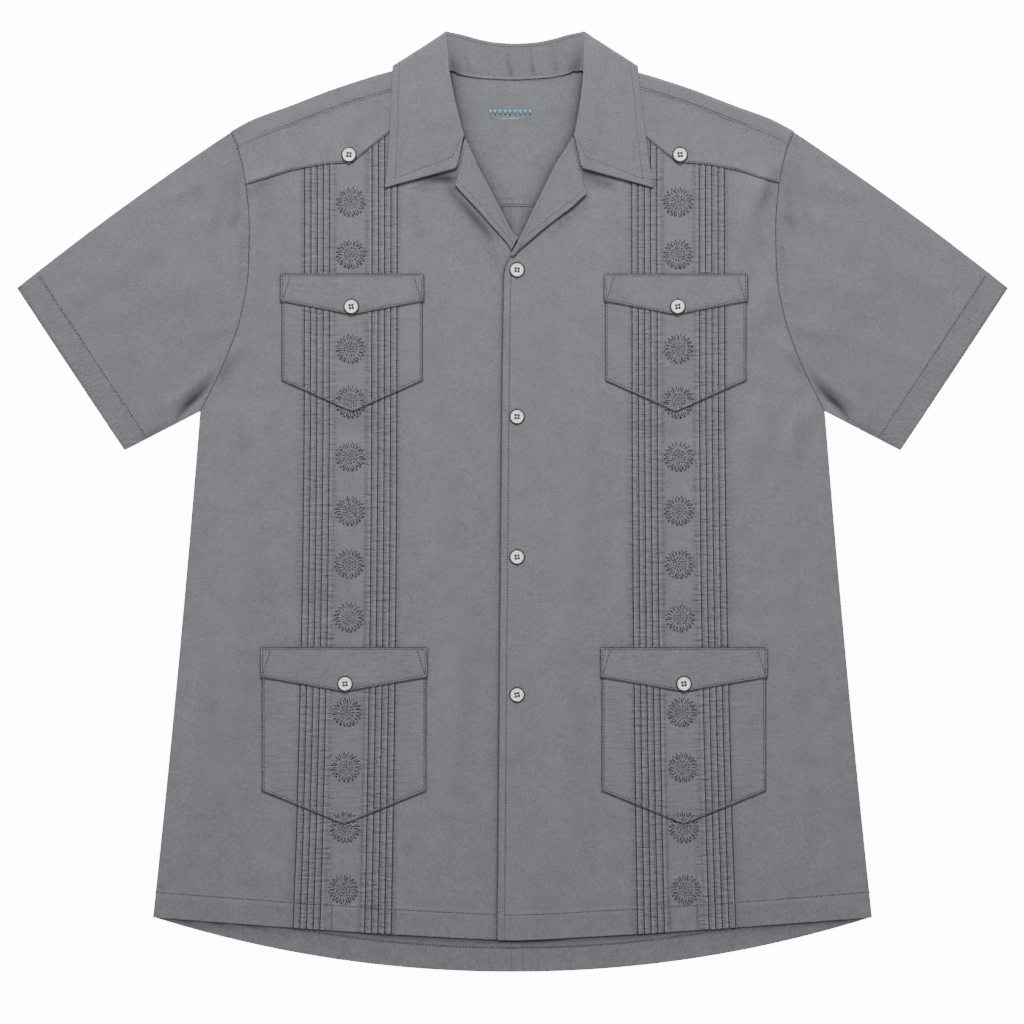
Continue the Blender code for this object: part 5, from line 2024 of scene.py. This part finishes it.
@dataclass
class Sleeve:
    """A short sleeve: a tube pressed flat, with air in it, creases and a stitched hem."""

    side: Side
    room: Workroom
    top_start: tuple[float, float] = (248.0, 325.8)
    low_start: tuple[float, float] = (275.0, 79.0)
    top_hem: tuple[float, float] = (436.0, 188.0)
    low_hem: tuple[float, float] = (341.2, 45.0)
    crown: float = 2.6
    length: float = 190.0
    hem_depth: float = 22.6
    puff: float = 3.4
    fold_in: float = 0.006
    # Creases by distance along the sleeve and across it, both from 0 to 1.
    creases: tuple[Crease, ...] = (
        Crease(0.0, 0.82, 0.62, 0.90, 0.030, 2.6, 0.02), Crease(0.0, 0.93, 0.45, 0.97, 0.016, -0.9),
        Crease(0.0, 0.70, 0.40, 0.66, 0.035, 1.2, -0.02),
        Crease(0.0, 0.63, 0.22, 0.66, 0.016, -1.2),
        Crease(0.02, 0.48, 0.6, 0.40, 0.060, 0.7, 0.03),
        Crease(0.0, 0.30, 0.30, 0.24, 0.030, 1.0, -0.03),
        Crease(0.0, 0.14, 0.36, 0.05, 0.030, 1.3, 0.02), Crease(0.0, 0.08, 0.25, 0.02, 0.016, -0.9),
        Crease(0.35, 0.60, 0.98, 0.50, 0.050, 0.7, 0.02), Crease(0.4, 0.20, 0.98, 0.24, 0.050, 0.6),
    )
    # Painted shade in the troughs of the creases, and one painted highlight along the lower fold,
    # by the same shares.
    shades: tuple[Crease, ...] = (
        Crease(0.03, 0.895, 0.36, 0.965, 0.028, -0.6), Crease(0.0, 0.86, 0.42, 0.95, 0.05, -0.22),
        Crease(0.01, 0.08, 0.08, 0.34, 0.02, -0.18), Crease(0.03, 0.05, 0.2, 0.36, 0.025, -0.1),
        Crease(0.02, 0.3, 0.06, 0.6, 0.02, -0.12), Crease(0.0, 0.945, 0.3, 0.99, 0.02, 0.12),
        Crease(0.0, 0.72, 0.45, 0.62, 0.022, -0.11), Crease(0.0, 0.13, 0.35, 0.08, 0.020, -0.11),
        Crease(0.0, 0.28, 0.12, 0.30, 0.02, -0.15), Crease(0.3, 0.985, 0.9, 0.985, 0.02, -0.25),
        Crease(0.05, 0.5, 0.7, 0.42, 0.06, -0.06), Crease(0.3, 0.25, 0.9, 0.28, 0.06, -0.05),
    )

    def places(self, along: Array, over: Array) -> tuple[Array, Array]:
        """Where a share along and a share across fall on the laid sleeve.

        The share across runs from the fold at the top to the fold below; the armhole's curve
        fades out towards the hem, and the top fold bows out by the crown.

        Args:
            along: share from the armhole seam to the hem.
            over: share from the upper fold to the lower one.

        Returns:
            Distance from the centre and y.
        """
        top_start, low_start = np.array(self.top_start), np.array(self.low_start)
        top_hem, low_hem = np.array(self.top_hem), np.array(self.low_hem)
        fall = np.array([top_start[1] - top_hem[1], top_hem[0] - top_start[0]])
        crown = fall / np.linalg.norm(fall) * self.crown
        t, s = along[..., None], over[..., None]
        upper = top_start + (top_hem - top_start) * t + crown * 4 * t * (1 - t)
        under = low_start + (low_hem - low_start) * t
        height = top_start[1] + (low_start[1] - top_start[1]) * over
        curve = read_back(OUTLINE.armhole, height)
        chord = top_start[0] + (low_start[0] - top_start[0]) * over
        at = upper + (under - upper) * s
        shift = (curve - chord) * (1 - along) - 0.5 * (1 - ease(along / 0.01))
        return at[..., 0] + shift, at[..., 1]

    def height(self, along: Array, over: Array) -> Array:
        """Height of the middle of the upper layer: a cushion of air, then the creases."""
        inside = np.clip(np.sin(np.pi * np.clip(over, 0, 1)), 0, 1)
        slope = (0.15 + 0.85 * ease(along / 0.4)) * (1 - 0.35 * ease((along - 0.5) * 2))
        puff = self.puff * inside**0.75 * slope
        soft = ease(inside * 3) * ease(along / 0.08) * (1 - 0.6 * ease((along - 0.8) / 0.2))
        return FRONT_MID + puff + crease_height(self.creases, along, over) * soft

    def hem_share(self, over: Array) -> Array:
        """Share along the sleeve at which the hem is sewn, on a line level with its edge."""
        top_hem, low_hem = np.array(self.top_hem), np.array(self.low_hem)
        edge = (low_hem - top_hem) / np.linalg.norm(low_hem - top_hem)
        out = np.array([-edge[1], edge[0]])
        low = over[:, None]
        start = np.array(self.top_start) * (1 - low) + np.array(self.low_start) * low
        stop = top_hem * (1 - low) + low_hem * low
        height = self.top_start[1] + (self.low_start[1] - self.top_start[1]) * over
        bend = out[0] * (read_back(OUTLINE.armhole, height) - start[:, 0])
        return (top_hem @ out - self.hem_depth - start @ out - bend) / ((stop - start) @ out - bend)

    def patch(self) -> Patch:
        """The tube as rings from the armhole to the hem: over the top, and back underneath."""
        along = shares(self.length, 62)
        turn = np.linspace(0, np.pi, 9)[1:-1]
        even = np.linspace(0, 1, 72)
        face = 0.35 * (0.5 - 0.5 * np.cos(np.linspace(0, np.pi, 72))) + 0.65 * even
        over = (self.fold_in + (1 - 2 * self.fold_in) * face) * np.ones_like(along)
        ahead = along * np.ones(72)
        upper_x, upper_y = self.places(ahead, over)
        upper_z = self.height(ahead, over)
        ends = []
        for column, beside, angle in ((-1, -2, turn), (0, 1, turn[::-1])):
            point = np.stack([upper_x[:, column], upper_y[:, column]], -1)
            away = point - np.stack([upper_x[:, beside], upper_y[:, beside]], -1)
            away /= np.linalg.norm(away, axis=1, keepdims=True)
            radius = (upper_z[:, column] - BACK_MID) / 2
            reach = np.minimum(radius, 0.75)[:, None] * np.sin(angle)
            lift = radius[:, None] * np.cos(angle) + (BACK_MID + radius)[:, None]
            ends.append((point[:, None] + away[:, None] * reach[..., None], lift))
        (low_end, low_z), (top_end, top_z) = ends
        x = np.hstack([upper_x, low_end[..., 0], upper_x[:, ::-1], top_end[..., 0]])
        y = np.hstack([upper_y, low_end[..., 1], upper_y[:, ::-1], top_end[..., 1]])
        z = np.hstack([upper_z, low_z, np.full(upper_x.shape, BACK_MID), top_z])
        hem = along - self.hem_share(even)
        # Painted shade in the hem's stitch groove, just inside the open end, in the crease shades
        # and over the lower layer.
        groove = bell(hem, 0.006)
        mouth = 1 - 0.3 * ease((along - 0.985) / 0.015) * np.ones(72)
        shade = 1 + crease_height(self.shades, ahead, over)
        fold = np.ones((len(along), turn.size))
        tone = np.hstack([(1 - 0.1 * groove) * mouth * shade, fold, 0.9 * mouth, fold])
        near = np.minimum(along, 1 - along) * self.length
        run = np.concatenate([[0], np.cumsum(np.hypot(np.diff(x[0]), np.diff(y[0])))])
        grain = np.dstack([run[None, :] + 0 * along, along * self.length + 0 * run])
        points = np.dstack([self.side.value * x, y, z])
        edge = -np.maximum(0.5 * ease(hem / 0.02 + 1), 0.5 * ease(1 - along / 0.12))
        pucker = np.hstack([edge, edge[:, -1:] * fold, edge[:, ::-1], edge[:, :1] * fold])
        # Painted shade along the cut edges at both ends.
        tone = tone * (1 - 0.5 * bell(near, 0.6))
        half = turned_half(near) * np.ones(x.shape)
        return Patch(points, half, tone, grain, pucker, looped=True)

    def top(self, along: Array, over: Array) -> Array:
        """Points on the upper face of the sleeve."""
        x, y = self.places(along, over)
        return np.stack([self.side.value * x, y, self.height(along, over) + HALF_CLOTH], -1)

    def seams(self) -> Bits:
        """Hem stitches with their puckers as bars of painted shade, and a line of painted shadow
        beside the armhole.
        """
        bits = Bits()
        over = np.linspace(0.015, 0.985, 300)
        path = self.top(self.hem_share(over), over)
        STITCH.run(bits, path, tone=0.85)
        # Puckers of the hem as dark bars of painted shade.
        rng = np.random.default_rng(30 + self.side.value)
        take = path[6:-6:8]
        turn = rng.uniform(-0.5, 0.1, len(take)) * self.side.value
        slant = np.stack([np.cos(turn), np.sin(turn), 0 * turn], 1)
        tones = rng.uniform(0.35, 0.7, len(take))
        bits.add(*bars(take + [0, 0, 0.06], slant, (2.4, 0.55, 0.2)), tones)
        # A line of painted shadow in the armhole seam.
        over = np.linspace(0.004, 0.996, 300)
        GAP_SHADOW.run(bits, self.top(0.002 + 0 * over, over) + [0.0, 0.0, 0.1], tone=0.3)
        return bits

    def make(self) -> None:
        """Make the sleeve."""
        word = self.side.word
        patch = self.patch()
        self.room.lay(f"cloth_sleeve_{word}", [patch], f"sleeve_{word}", ["floor"], self.seams())


# ---------------------------------------------------------------- collar and lapels


class Section(NamedTuple):
    """One section of the collar's right half: its three lines, and how it turns at the roll."""

    neck: Triple
    roll: Triple
    edge: Triple
    turn: float


@dataclass
class Collar:
    """The open collar: an upright stand, a rounded roll and a fall with two pointed leaves."""

    room: Workroom
    turn_reach: float = 1.15
    width: float = 90.0
    lines: tuple[int, int] = (180, 40)
    stitch_in: float = 6.8
    end_in: float = 4.2
    stand_row: float = 23.0
    leaf_row: float = 33.0
    neck_clearance: float = 0.8
    settle_power: float = 5.0
    shift: tuple[float, float] = (2.4, 5.8)
    gorge: Triple = (54.4, 292.8, 6.0)
    shares: tuple[float, ...] = (0.0, 0.22, 0.5, 1.0)
    across: tuple[float, ...] = (0.0, 0.16, 0.29, 0.32, 0.35, 0.48, 0.68, 1.0)
    sections: tuple[Section, ...] = (
        Section((0, 370.2, 1.8), (0, 402.6, 5.3), (0, 355, 0.5), 1),
        Section((16, 370.5, 1.8), (16, 403.5, 5.3), (24, 355.6, 0.5), 1),
        Section((31, 372.1, 1.9), (30.5, 406, 5.4), (50, 358.6, 0.5), 1),
        Section((43, 374.2, 2.1), (47, 410.4, 5.8), (76, 365.6, 0.5), 1),
        Section((48.5, 375.6, 3.2), (56.5, 412.2, 6.6), (104.5, 380, 0.5), 0.8),
        Section((51, 376.4, 3.6), (60.2, 412.9, 7.2), (107.4, 382.4, 2.6), 0.5),
        Section((53, 377.6, 4.2), (61.4, 411.6, 7.8), (107.8, 382.2, 6.6), 0),
        Section((57, 378.6, 5), (60.2, 398, 8.8), (108.6, 368, 7.2), -0.6),
        Section((66, 375, 6.7), (58.8, 380, 9.4), (110.5, 350, 7.2), -1),
        Section((66, 360, 6.7), (56.4, 362, 9.4), (112, 330, 6.8), -1),
        Section((62, 345, 6.4), (53.6, 346, 9), (114, 308, 6.4), -1),
        Section((55.5, 330, 5.6), (50.4, 331, 8), (116.2, 290, 6), -1),
        Section((51, 322.6, 4.9), (48, 321, 6.6), (118.2, 275.6, 5.6), -1),
    )

    def section(self, row: Section, side: Side) -> Array:
        """Points across the collar at one section: the stand, the roll, then the fall."""
        first, last = self.sections[0], self.sections[-1]
        at_point = max((first.roll[1] - row.roll[1]) / (first.roll[1] - last.roll[1]), 0.0)
        shift = self.shift[0] + (self.shift[1] - self.shift[0]) * at_point
        neck, roll, edge = (np.array(point, float) for point in (row.neck, row.roll, row.edge))
        if row.turn > 0:
            neck[1] = read(OUTLINE.neckline, abs(neck[0] * side.value + shift))
            neck[1] += self.neck_clearance
        to_neck = (neck - roll)[:2] / np.linalg.norm((neck - roll)[:2])
        to_edge = (edge - roll)[:2] / np.linalg.norm((edge - roll)[:2])
        rise = row.turn * self.turn_reach / 2
        before = np.array([*(roll[:2] + to_neck * self.turn_reach), roll[2] + rise])
        after = np.array([*(roll[:2] + to_edge * self.turn_reach), roll[2] - rise])
        inset = (to_neck + to_edge) / 4
        points = [neck, (neck + before) / 2, before, roll + [*inset, 0.0]]
        for share in self.shares:
            point = after + (edge - after) * share
            settle = (1 - share) ** (self.settle_power if row.turn > 0 else 1)
            point[2] = edge[2] + (after[2] - edge[2]) * settle
            points.append(point)
        if row is last:
            points[5] = np.array(self.gorge)
            points[6] = (points[5] + edge) / 2
        grid = np.array(points)
        grid[:, 0] = grid[:, 0] * side.value + shift
        return grid

    def patch(self) -> Patch:
        """The collar's grid: smooth curves through the sections, and across each of them."""
        left = [self.section(row, Side.LEFT) for row in self.sections[:0:-1]]
        right = [self.section(row, Side.RIGHT) for row in self.sections]
        rows = np.array(left + right)
        steps = np.linalg.norm(np.diff(rows, axis=0), axis=2).mean(axis=1)
        run = np.concatenate([[0.0], np.cumsum(steps)])
        at = with_edges(np.array([0.0]), run[-1:], self.lines[0])[:, 0]
        lengthwise = smooth(run, rows, at).transpose(1, 0, 2)
        across = np.concatenate([shares(self.width, self.lines[1])[:, 0],
                                 np.linspace(0.27, 0.37, 12)])
        across = np.unique(np.round(across, 5))
        grid = smooth(self.across, lengthwise, across).transpose(1, 0, 2)
        fall = across > self.across[4]
        straight = straight_rows(self.across, lengthwise, across[fall]).transpose(1, 0, 2)
        grid[:, fall, :2] = straight[..., :2]
        x, y = grid[..., 0], grid[..., 1]
        grid[..., 2] = grid[..., 2] + self.creases(x, y, at / run[-1], across)
        spans = np.broadcast_arrays(at[:, None], across * self.width)
        near = edge_distance(*spans)
        # Painted shade along the very edges of the collar.
        tone = self.tone(at / run[-1], across) * (1 - 0.45 * bell(near, 0.5))
        pucker = np.maximum(0.5 * ease(1 - near / 9.0), 0.15)
        return Patch(grid, turned_half(near, 0.48), tone, np.dstack(spans), pucker)

    def creases(self, x: Array, y: Array, along: Array, across: Array) -> Array:
        """Soft waves of the stand, where it leans and buckles a little."""
        stand = ease(1 - across / 0.3) * ease(across / 0.05)
        middle = bell(along, 0.22, 0.5)
        wave = np.sin(x / 6.5 + y / 14.0 + 0.6 * np.sin(x / 11.0))
        return 0.7 * wave * stand * middle[:, None]

    def tone(self, along: Array, across: Array) -> Array:
        """Tone over the collar: painted shade low in the stand, at its ends and in its slanting
        creases, and painted highlights along the stand's lower edge and at the roll.
        """
        edge = 0.3 * bell(across, 0.008, 0.011)
        stand = 1 - 0.14 * ease(1 - across / 0.12) + edge
        roll = 1 + 0.06 * bell(across, 0.03, 0.32)
        ends = bell(np.abs(along - 0.5), 0.045, 0.225)[:, None]
        ends = 1 - 0.52 * ends * ease(1 - across / 0.3)
        slant = np.sin(70 * along[:, None] + 5 * across + 1.5 * np.sin(23 * along[:, None]))
        inside = bell(along, 0.2, 0.5)[:, None]
        inside = inside * ease(1 - across / 0.31) * ease(across / 0.08)
        return stand * roll * ends * (1 - 0.48 * np.clip(slant, 0, 1) ** 5 * inside)

    def seams(self, patch: Patch) -> Bits:
        """The stitches along the collar's outer edge and under the top of the stand."""
        bits = Bits()
        surface, normal = patch.surface(), patch.normals()
        across = patch.grain[0, :, 1]
        along = patch.grain[:, 0, 0]
        column = nearest(across, across[-1] - self.stitch_in)
        low, high = nearest(along, self.end_in), nearest(along, along[-1] - self.end_in)
        first = nearest(across, self.leaf_row)
        quarter = len(surface) // 4
        for part in (
            np.s_[low:high + 1, column], np.s_[low, first:column + 1],
            np.s_[high, first:column + 1],
            np.s_[quarter:-quarter, nearest(across, self.stand_row)],
        ):
            SOFT_STITCH.run(bits, surface[part], normal[part], 0.84)
        return bits

    def make(self) -> None:
        """Make the collar."""
        patch = self.patch()
        self.room.lay("cloth_collar", [patch], "collar", ["back_yoke", "front_left", "front_right"],
                      self.seams(patch))


class LapelRow(NamedTuple):
    """One section of a lapel: a point on its roll and one on its outer edge."""

    roll: Triple
    outer: Triple


LAPELS: dict[Side, tuple[LapelRow, ...]] = {
    Side.LEFT: (
        LapelRow((-41.4, 318.6, 6), (-47, 291.8, 5.8)),
        LapelRow((-37.6, 310, 6), (-50.6, 277.9, 5.4)),
        LapelRow((-29.8, 293, 5.9), (-40, 266.4, 5.2)),
        LapelRow((-20, 274.5, 5.7), (-30, 255.6, 5)),
        LapelRow((-11, 257.2, 5.4), (-18, 242, 4.8)), LapelRow((-4, 243, 5.2), (-8.6, 231.4, 4.6)),
        LapelRow((-1.2, 237.5, 4.8), (-5, 227.4, 4.4)),
        LapelRow((5.0, 230.5, 4.5), (-1, 220.6, 4.3)),
    ),
    Side.RIGHT: (
        LapelRow((52.6, 319.6, 6.4), (59, 291.2, 6.2)),
        LapelRow((48.4, 312, 6.8), (65.4, 270.6, 6.2)),
        LapelRow((38.5, 297, 7.4), (52.6, 258.8, 6.4)),
        LapelRow((29.4, 278.5, 7.4), (40.6, 249.7, 6.4)),
        LapelRow((19.8, 259, 7.4), (28.4, 240.2, 6.4)),
        LapelRow((11, 240.2, 7.2), (17.4, 230.7, 6.4)),
        LapelRow((3.4, 225, 6.8), (7, 222, 6.2)), LapelRow((-1.4, 216, 6.4), (0.4, 214.6, 6)),
    ),
}


@dataclass
class Lapel:
    """The facing turned out below the collar, with its edge curled under at the roll."""

    side: Side
    room: Workroom
    curl: float = 2.2
    curl_drop: float = 1.3
    turn: float = 0.9
    turn_rise: float = 0.5
    sideways: float = 0.7
    # Where the section's five points lie across the lapel.
    share: tuple[float, ...] = (0.0, 0.08, 0.16, 0.55, 1.0)
    width: float = 34.0
    lines: tuple[int, int] = (90, 26)
    stitch_in: float = 5.4
    end_in: float = 5.0

    def section(self, row: LapelRow) -> Array:
        """Points across the lapel: under the roll, the roll, over it, then to the outer edge."""
        roll, outer = np.array(row.roll, float), np.array(row.outer, float)
        away = (outer - roll)[:2]
        away = away / np.linalg.norm(away) * (1 - self.sideways)
        away = away + [self.side.value * self.sideways, 0.0]
        under = roll + [*(away * self.curl), -self.curl_drop]
        over = roll + [*(away * self.turn), self.turn_rise]
        return np.array([under, roll, over, (over + outer) / 2, outer])

    def patch(self) -> Patch:
        """The lapel's grid, smooth along and across."""
        rows = np.array([self.section(row) for row in LAPELS[self.side]])
        steps = np.linalg.norm(np.diff(rows, axis=0), axis=2).mean(axis=1)
        run = np.concatenate([[0.0], np.cumsum(steps)])
        at = with_edges(np.array([0.0]), run[-1:], self.lines[0])[:, 0]
        lengthwise = straight_rows(run, rows, at).transpose(1, 0, 2)
        across = np.concatenate([shares(self.width, self.lines[1])[:, 0],
                                 np.linspace(0.02, 0.2, 10)])
        across = np.unique(np.round(across, 5))
        grid = smooth(self.share, lengthwise, across).transpose(1, 0, 2)
        spans = np.broadcast_arrays(at[:, None], across * self.width)
        near = edge_distance(grid[..., 0], grid[..., 1])
        # A painted highlight along the roll, and painted shade along the very edges.
        roll = 1 + 0.05 * bell(across, 0.06, 0.12)
        tone = roll * (1 - 0.45 * bell(near, 0.5))
        pucker = np.maximum(0.5 * ease(1 - near / 9.0), 0.15)
        return Patch(grid, turned_half(near, 0.46), tone, np.dstack(spans), pucker)

    def seams(self, patch: Patch) -> Bits:
        """Stitches along the lapel's outer edge and its top."""
        bits = Bits()
        surface, normal = patch.surface(), patch.normals()
        depth = np.linalg.norm(surface - surface[:, -1:], axis=2)
        column = np.argmin(np.abs(depth - self.stitch_in), axis=1)
        rows = np.arange(len(surface))
        keep = (depth[:, 0] > 9) & (patch.grain[:, 0, 0] > self.end_in)
        path, ups = surface[rows, column][keep], normal[rows, column][keep]
        SOFT_STITCH.run(bits, path, ups, 0.84)
        row = nearest(patch.grain[:, 0, 0], self.end_in)
        part = np.s_[row, 6:int(column[row]) + 1]
        SOFT_STITCH.run(bits, surface[part], normal[part], 0.84)
        return bits

    def make(self) -> None:
        """Make the lapel."""
        word = self.side.word
        patch = self.patch()
        self.room.lay(f"cloth_lapel_{word}", [patch], f"lapel_{word}", [f"front_{word}"],
                      self.seams(patch))


# ---------------------------------------------------------------- the shirt


@dataclass
class Shirt:
    """The whole shirt, piece by piece."""

    room: Workroom
    centre_x: float = 4.0
    hole_above: float = 0.6
    # The dark ring of painted shadow round a button: its radius, that of its tube, and its tone.
    ring: Triple = (6.3, 0.85, 0.1)
    centre_buttons: tuple[float, ...] = (203.6, 74.6, -48.6, -169.6)
    yoke_button: tuple[float, float] = (143.6, 304.6)
    flap_buttons: tuple[tuple[Level, float, float], ...] = ((Level.UPPER, 141.4, 171.0),
                                                            (Level.LOWER, 146.8, -159.7))
    pockets: tuple[tuple[Level, PocketSize], ...] = (
        (Level.UPPER, PocketSize(79.3, 202.3, 199.6, 106.8, 79.4, 176.4, 164.2, (134.1, 88.7))),
        (Level.LOWER,
         PocketSize(76.2, 219.6, -128.0, -253.6, -282.6, -153.6, -166.4, (-184.8, -233.1, -284.0))),
    )

    def fasten(self, name: str, x: float, y: float, top: Surface, bits: Bits,
               tilt: float) -> None:
        """Make a button with its buttonhole and a dark ring of painted shadow round it."""
        BUTTONHOLE.sew(bits, x, y + self.hole_above, top)
        turn = np.linspace(0, 2 * np.pi, BUTTON.turns, endpoint=False)
        # Dark tubes round the button: painted shadow at its foot.
        radius, tube, tone = self.ring
        ring = laid(x + radius * np.cos(turn), y + radius * np.sin(turn), top, SEAM)
        bits.add(*closed_tubes(ring[None], tube), tone)
        BUTTON.make(self.room, name, x, y, float(top(np.array(x), np.array(y))), tilt)

    def make(self) -> None:
        """Make every piece."""
        Back(self.room).make()
        fronts = {side: Front(side, self.room) for side in Side}
        holes = Bits()
        for side, front in fronts.items():
            Sleeve(side, self.room).make()
            front.make()
            Lapel(side, self.room).make()
            for level, size in self.pockets:
                Pocket(front, level, size).make()
            x, y = self.yoke_button
            x = side.value * (x + TUCKS.shift(side))
            self.fasten(f"button_yoke_{side.word}", x, y, front.yoke_top, holes, 0.1 * side.value)
            for (level, x, y), (_, size) in zip(self.flap_buttons, self.pockets):
                x = side.value * (x + TUCKS.shift(side))
                pocket = Pocket(front, level, size)
                self.fasten(f"button_flap_{level.value}_{side.word}", x, y, pocket.flap_top, holes,
                            0.12)
        for number, y in enumerate(self.centre_buttons, 1):
            self.fasten(f"button_front_{number}", self.centre_x, y, fronts[Side.RIGHT].top, holes,
                        0.1 * (number - 2))
        Collar(self.room).make()
        self.room.trim("buttonholes", holes)


# ---------------------------------------------------------------- table, light and camera


@dataclass(frozen=True)
class Studio:
    """White table, soft light from above and from the collar's side, and a camera overhead."""

    table_side: float = 40000.0
    camera_place: Triple = (-0.44, -9.0, 2503.0)
    lens: float = 100.0
    sensor: float = 36.0
    # Each light: power in watts, side, place and the point that it is aimed at.
    key: tuple[float, float, Triple, Triple] = (92.0, 1000, (-60, 1450, 2050), (0, 60, 0))
    fill: tuple[float, float, Triple, Triple] = (24.0, 2600, (300, -300, 2900), (0, 0, 0))
    world_strength: float = 0.3

    def table(self) -> bpy.types.Object:
        """The table top, which isn't part of the shirt."""
        half = self.table_side / 2
        corners = np.array([[-half, -half, 0], [half, -half, 0], [half, half, 0], [-half, half, 0]])
        made = mesh_object("floor", corners, np.array([[0, 1, 2, 3]]), np.ones(4),
                           FloorFinish().material())
        made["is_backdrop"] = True
        return made

    def light(self, name: str, power: float, size: float, place: Triple,
              aim: Triple) -> None:
        """One square soft light, aimed at a point. Places are in millimetres, power in watts."""
        data = bpy.data.lights.new(name, "AREA")
        data.energy, data.size = power, size * METRES
        lamp = bpy.data.objects.new(name, data)
        lamp.location = [v * METRES for v in place]
        way = np.array(place) - np.array(aim)
        flat = math.hypot(way[0], way[1])
        lamp.rotation_euler = (math.atan2(flat, way[2]), 0.0, math.atan2(way[0], -way[1]))
        bpy.context.scene.collection.objects.link(lamp)

    def world(self) -> None:
        """An even grey-white surround."""
        world = bpy.data.worlds.new("studio")
        world.use_nodes = True
        back = world.node_tree.nodes["Background"]
        back.inputs["Color"].default_value = (0.96, 0.98, 1.0, 1.0)
        back.inputs["Strength"].default_value = self.world_strength
        bpy.context.scene.world = world

    def camera(self) -> None:
        """The camera, straight overhead."""
        data = bpy.data.cameras.new("camera")
        data.lens, data.sensor_width = self.lens, self.sensor
        data.clip_start, data.clip_end = 0.05, 50.0
        made = bpy.data.objects.new("camera", data)
        made.location = [v * METRES for v in self.camera_place]
        bpy.context.scene.collection.objects.link(made)
        bpy.context.scene.camera = made

    def make(self) -> None:
        """Set everything up."""
        self.table()
        self.world()
        self.light("key", *self.key)
        self.light("fill", *self.fill)
        self.camera()


def corners() -> list[list[float]]:
    """The lowest and the highest corner of what is shown, as lists."""
    return [list(corner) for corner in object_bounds()]


def main() -> None:
    """Make the studio and the shirt."""
    logging.basicConfig(level=logging.INFO, format="%(name)s: %(message)s")
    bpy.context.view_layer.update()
    Studio().make()
    room = Workroom(
        ClothFinish().material(), ThreadFinish().material(), PearlFinish().material(),
        InkFinish().material(),
    )
    Shirt(room).make()


if __name__ == "__main__":
    main()
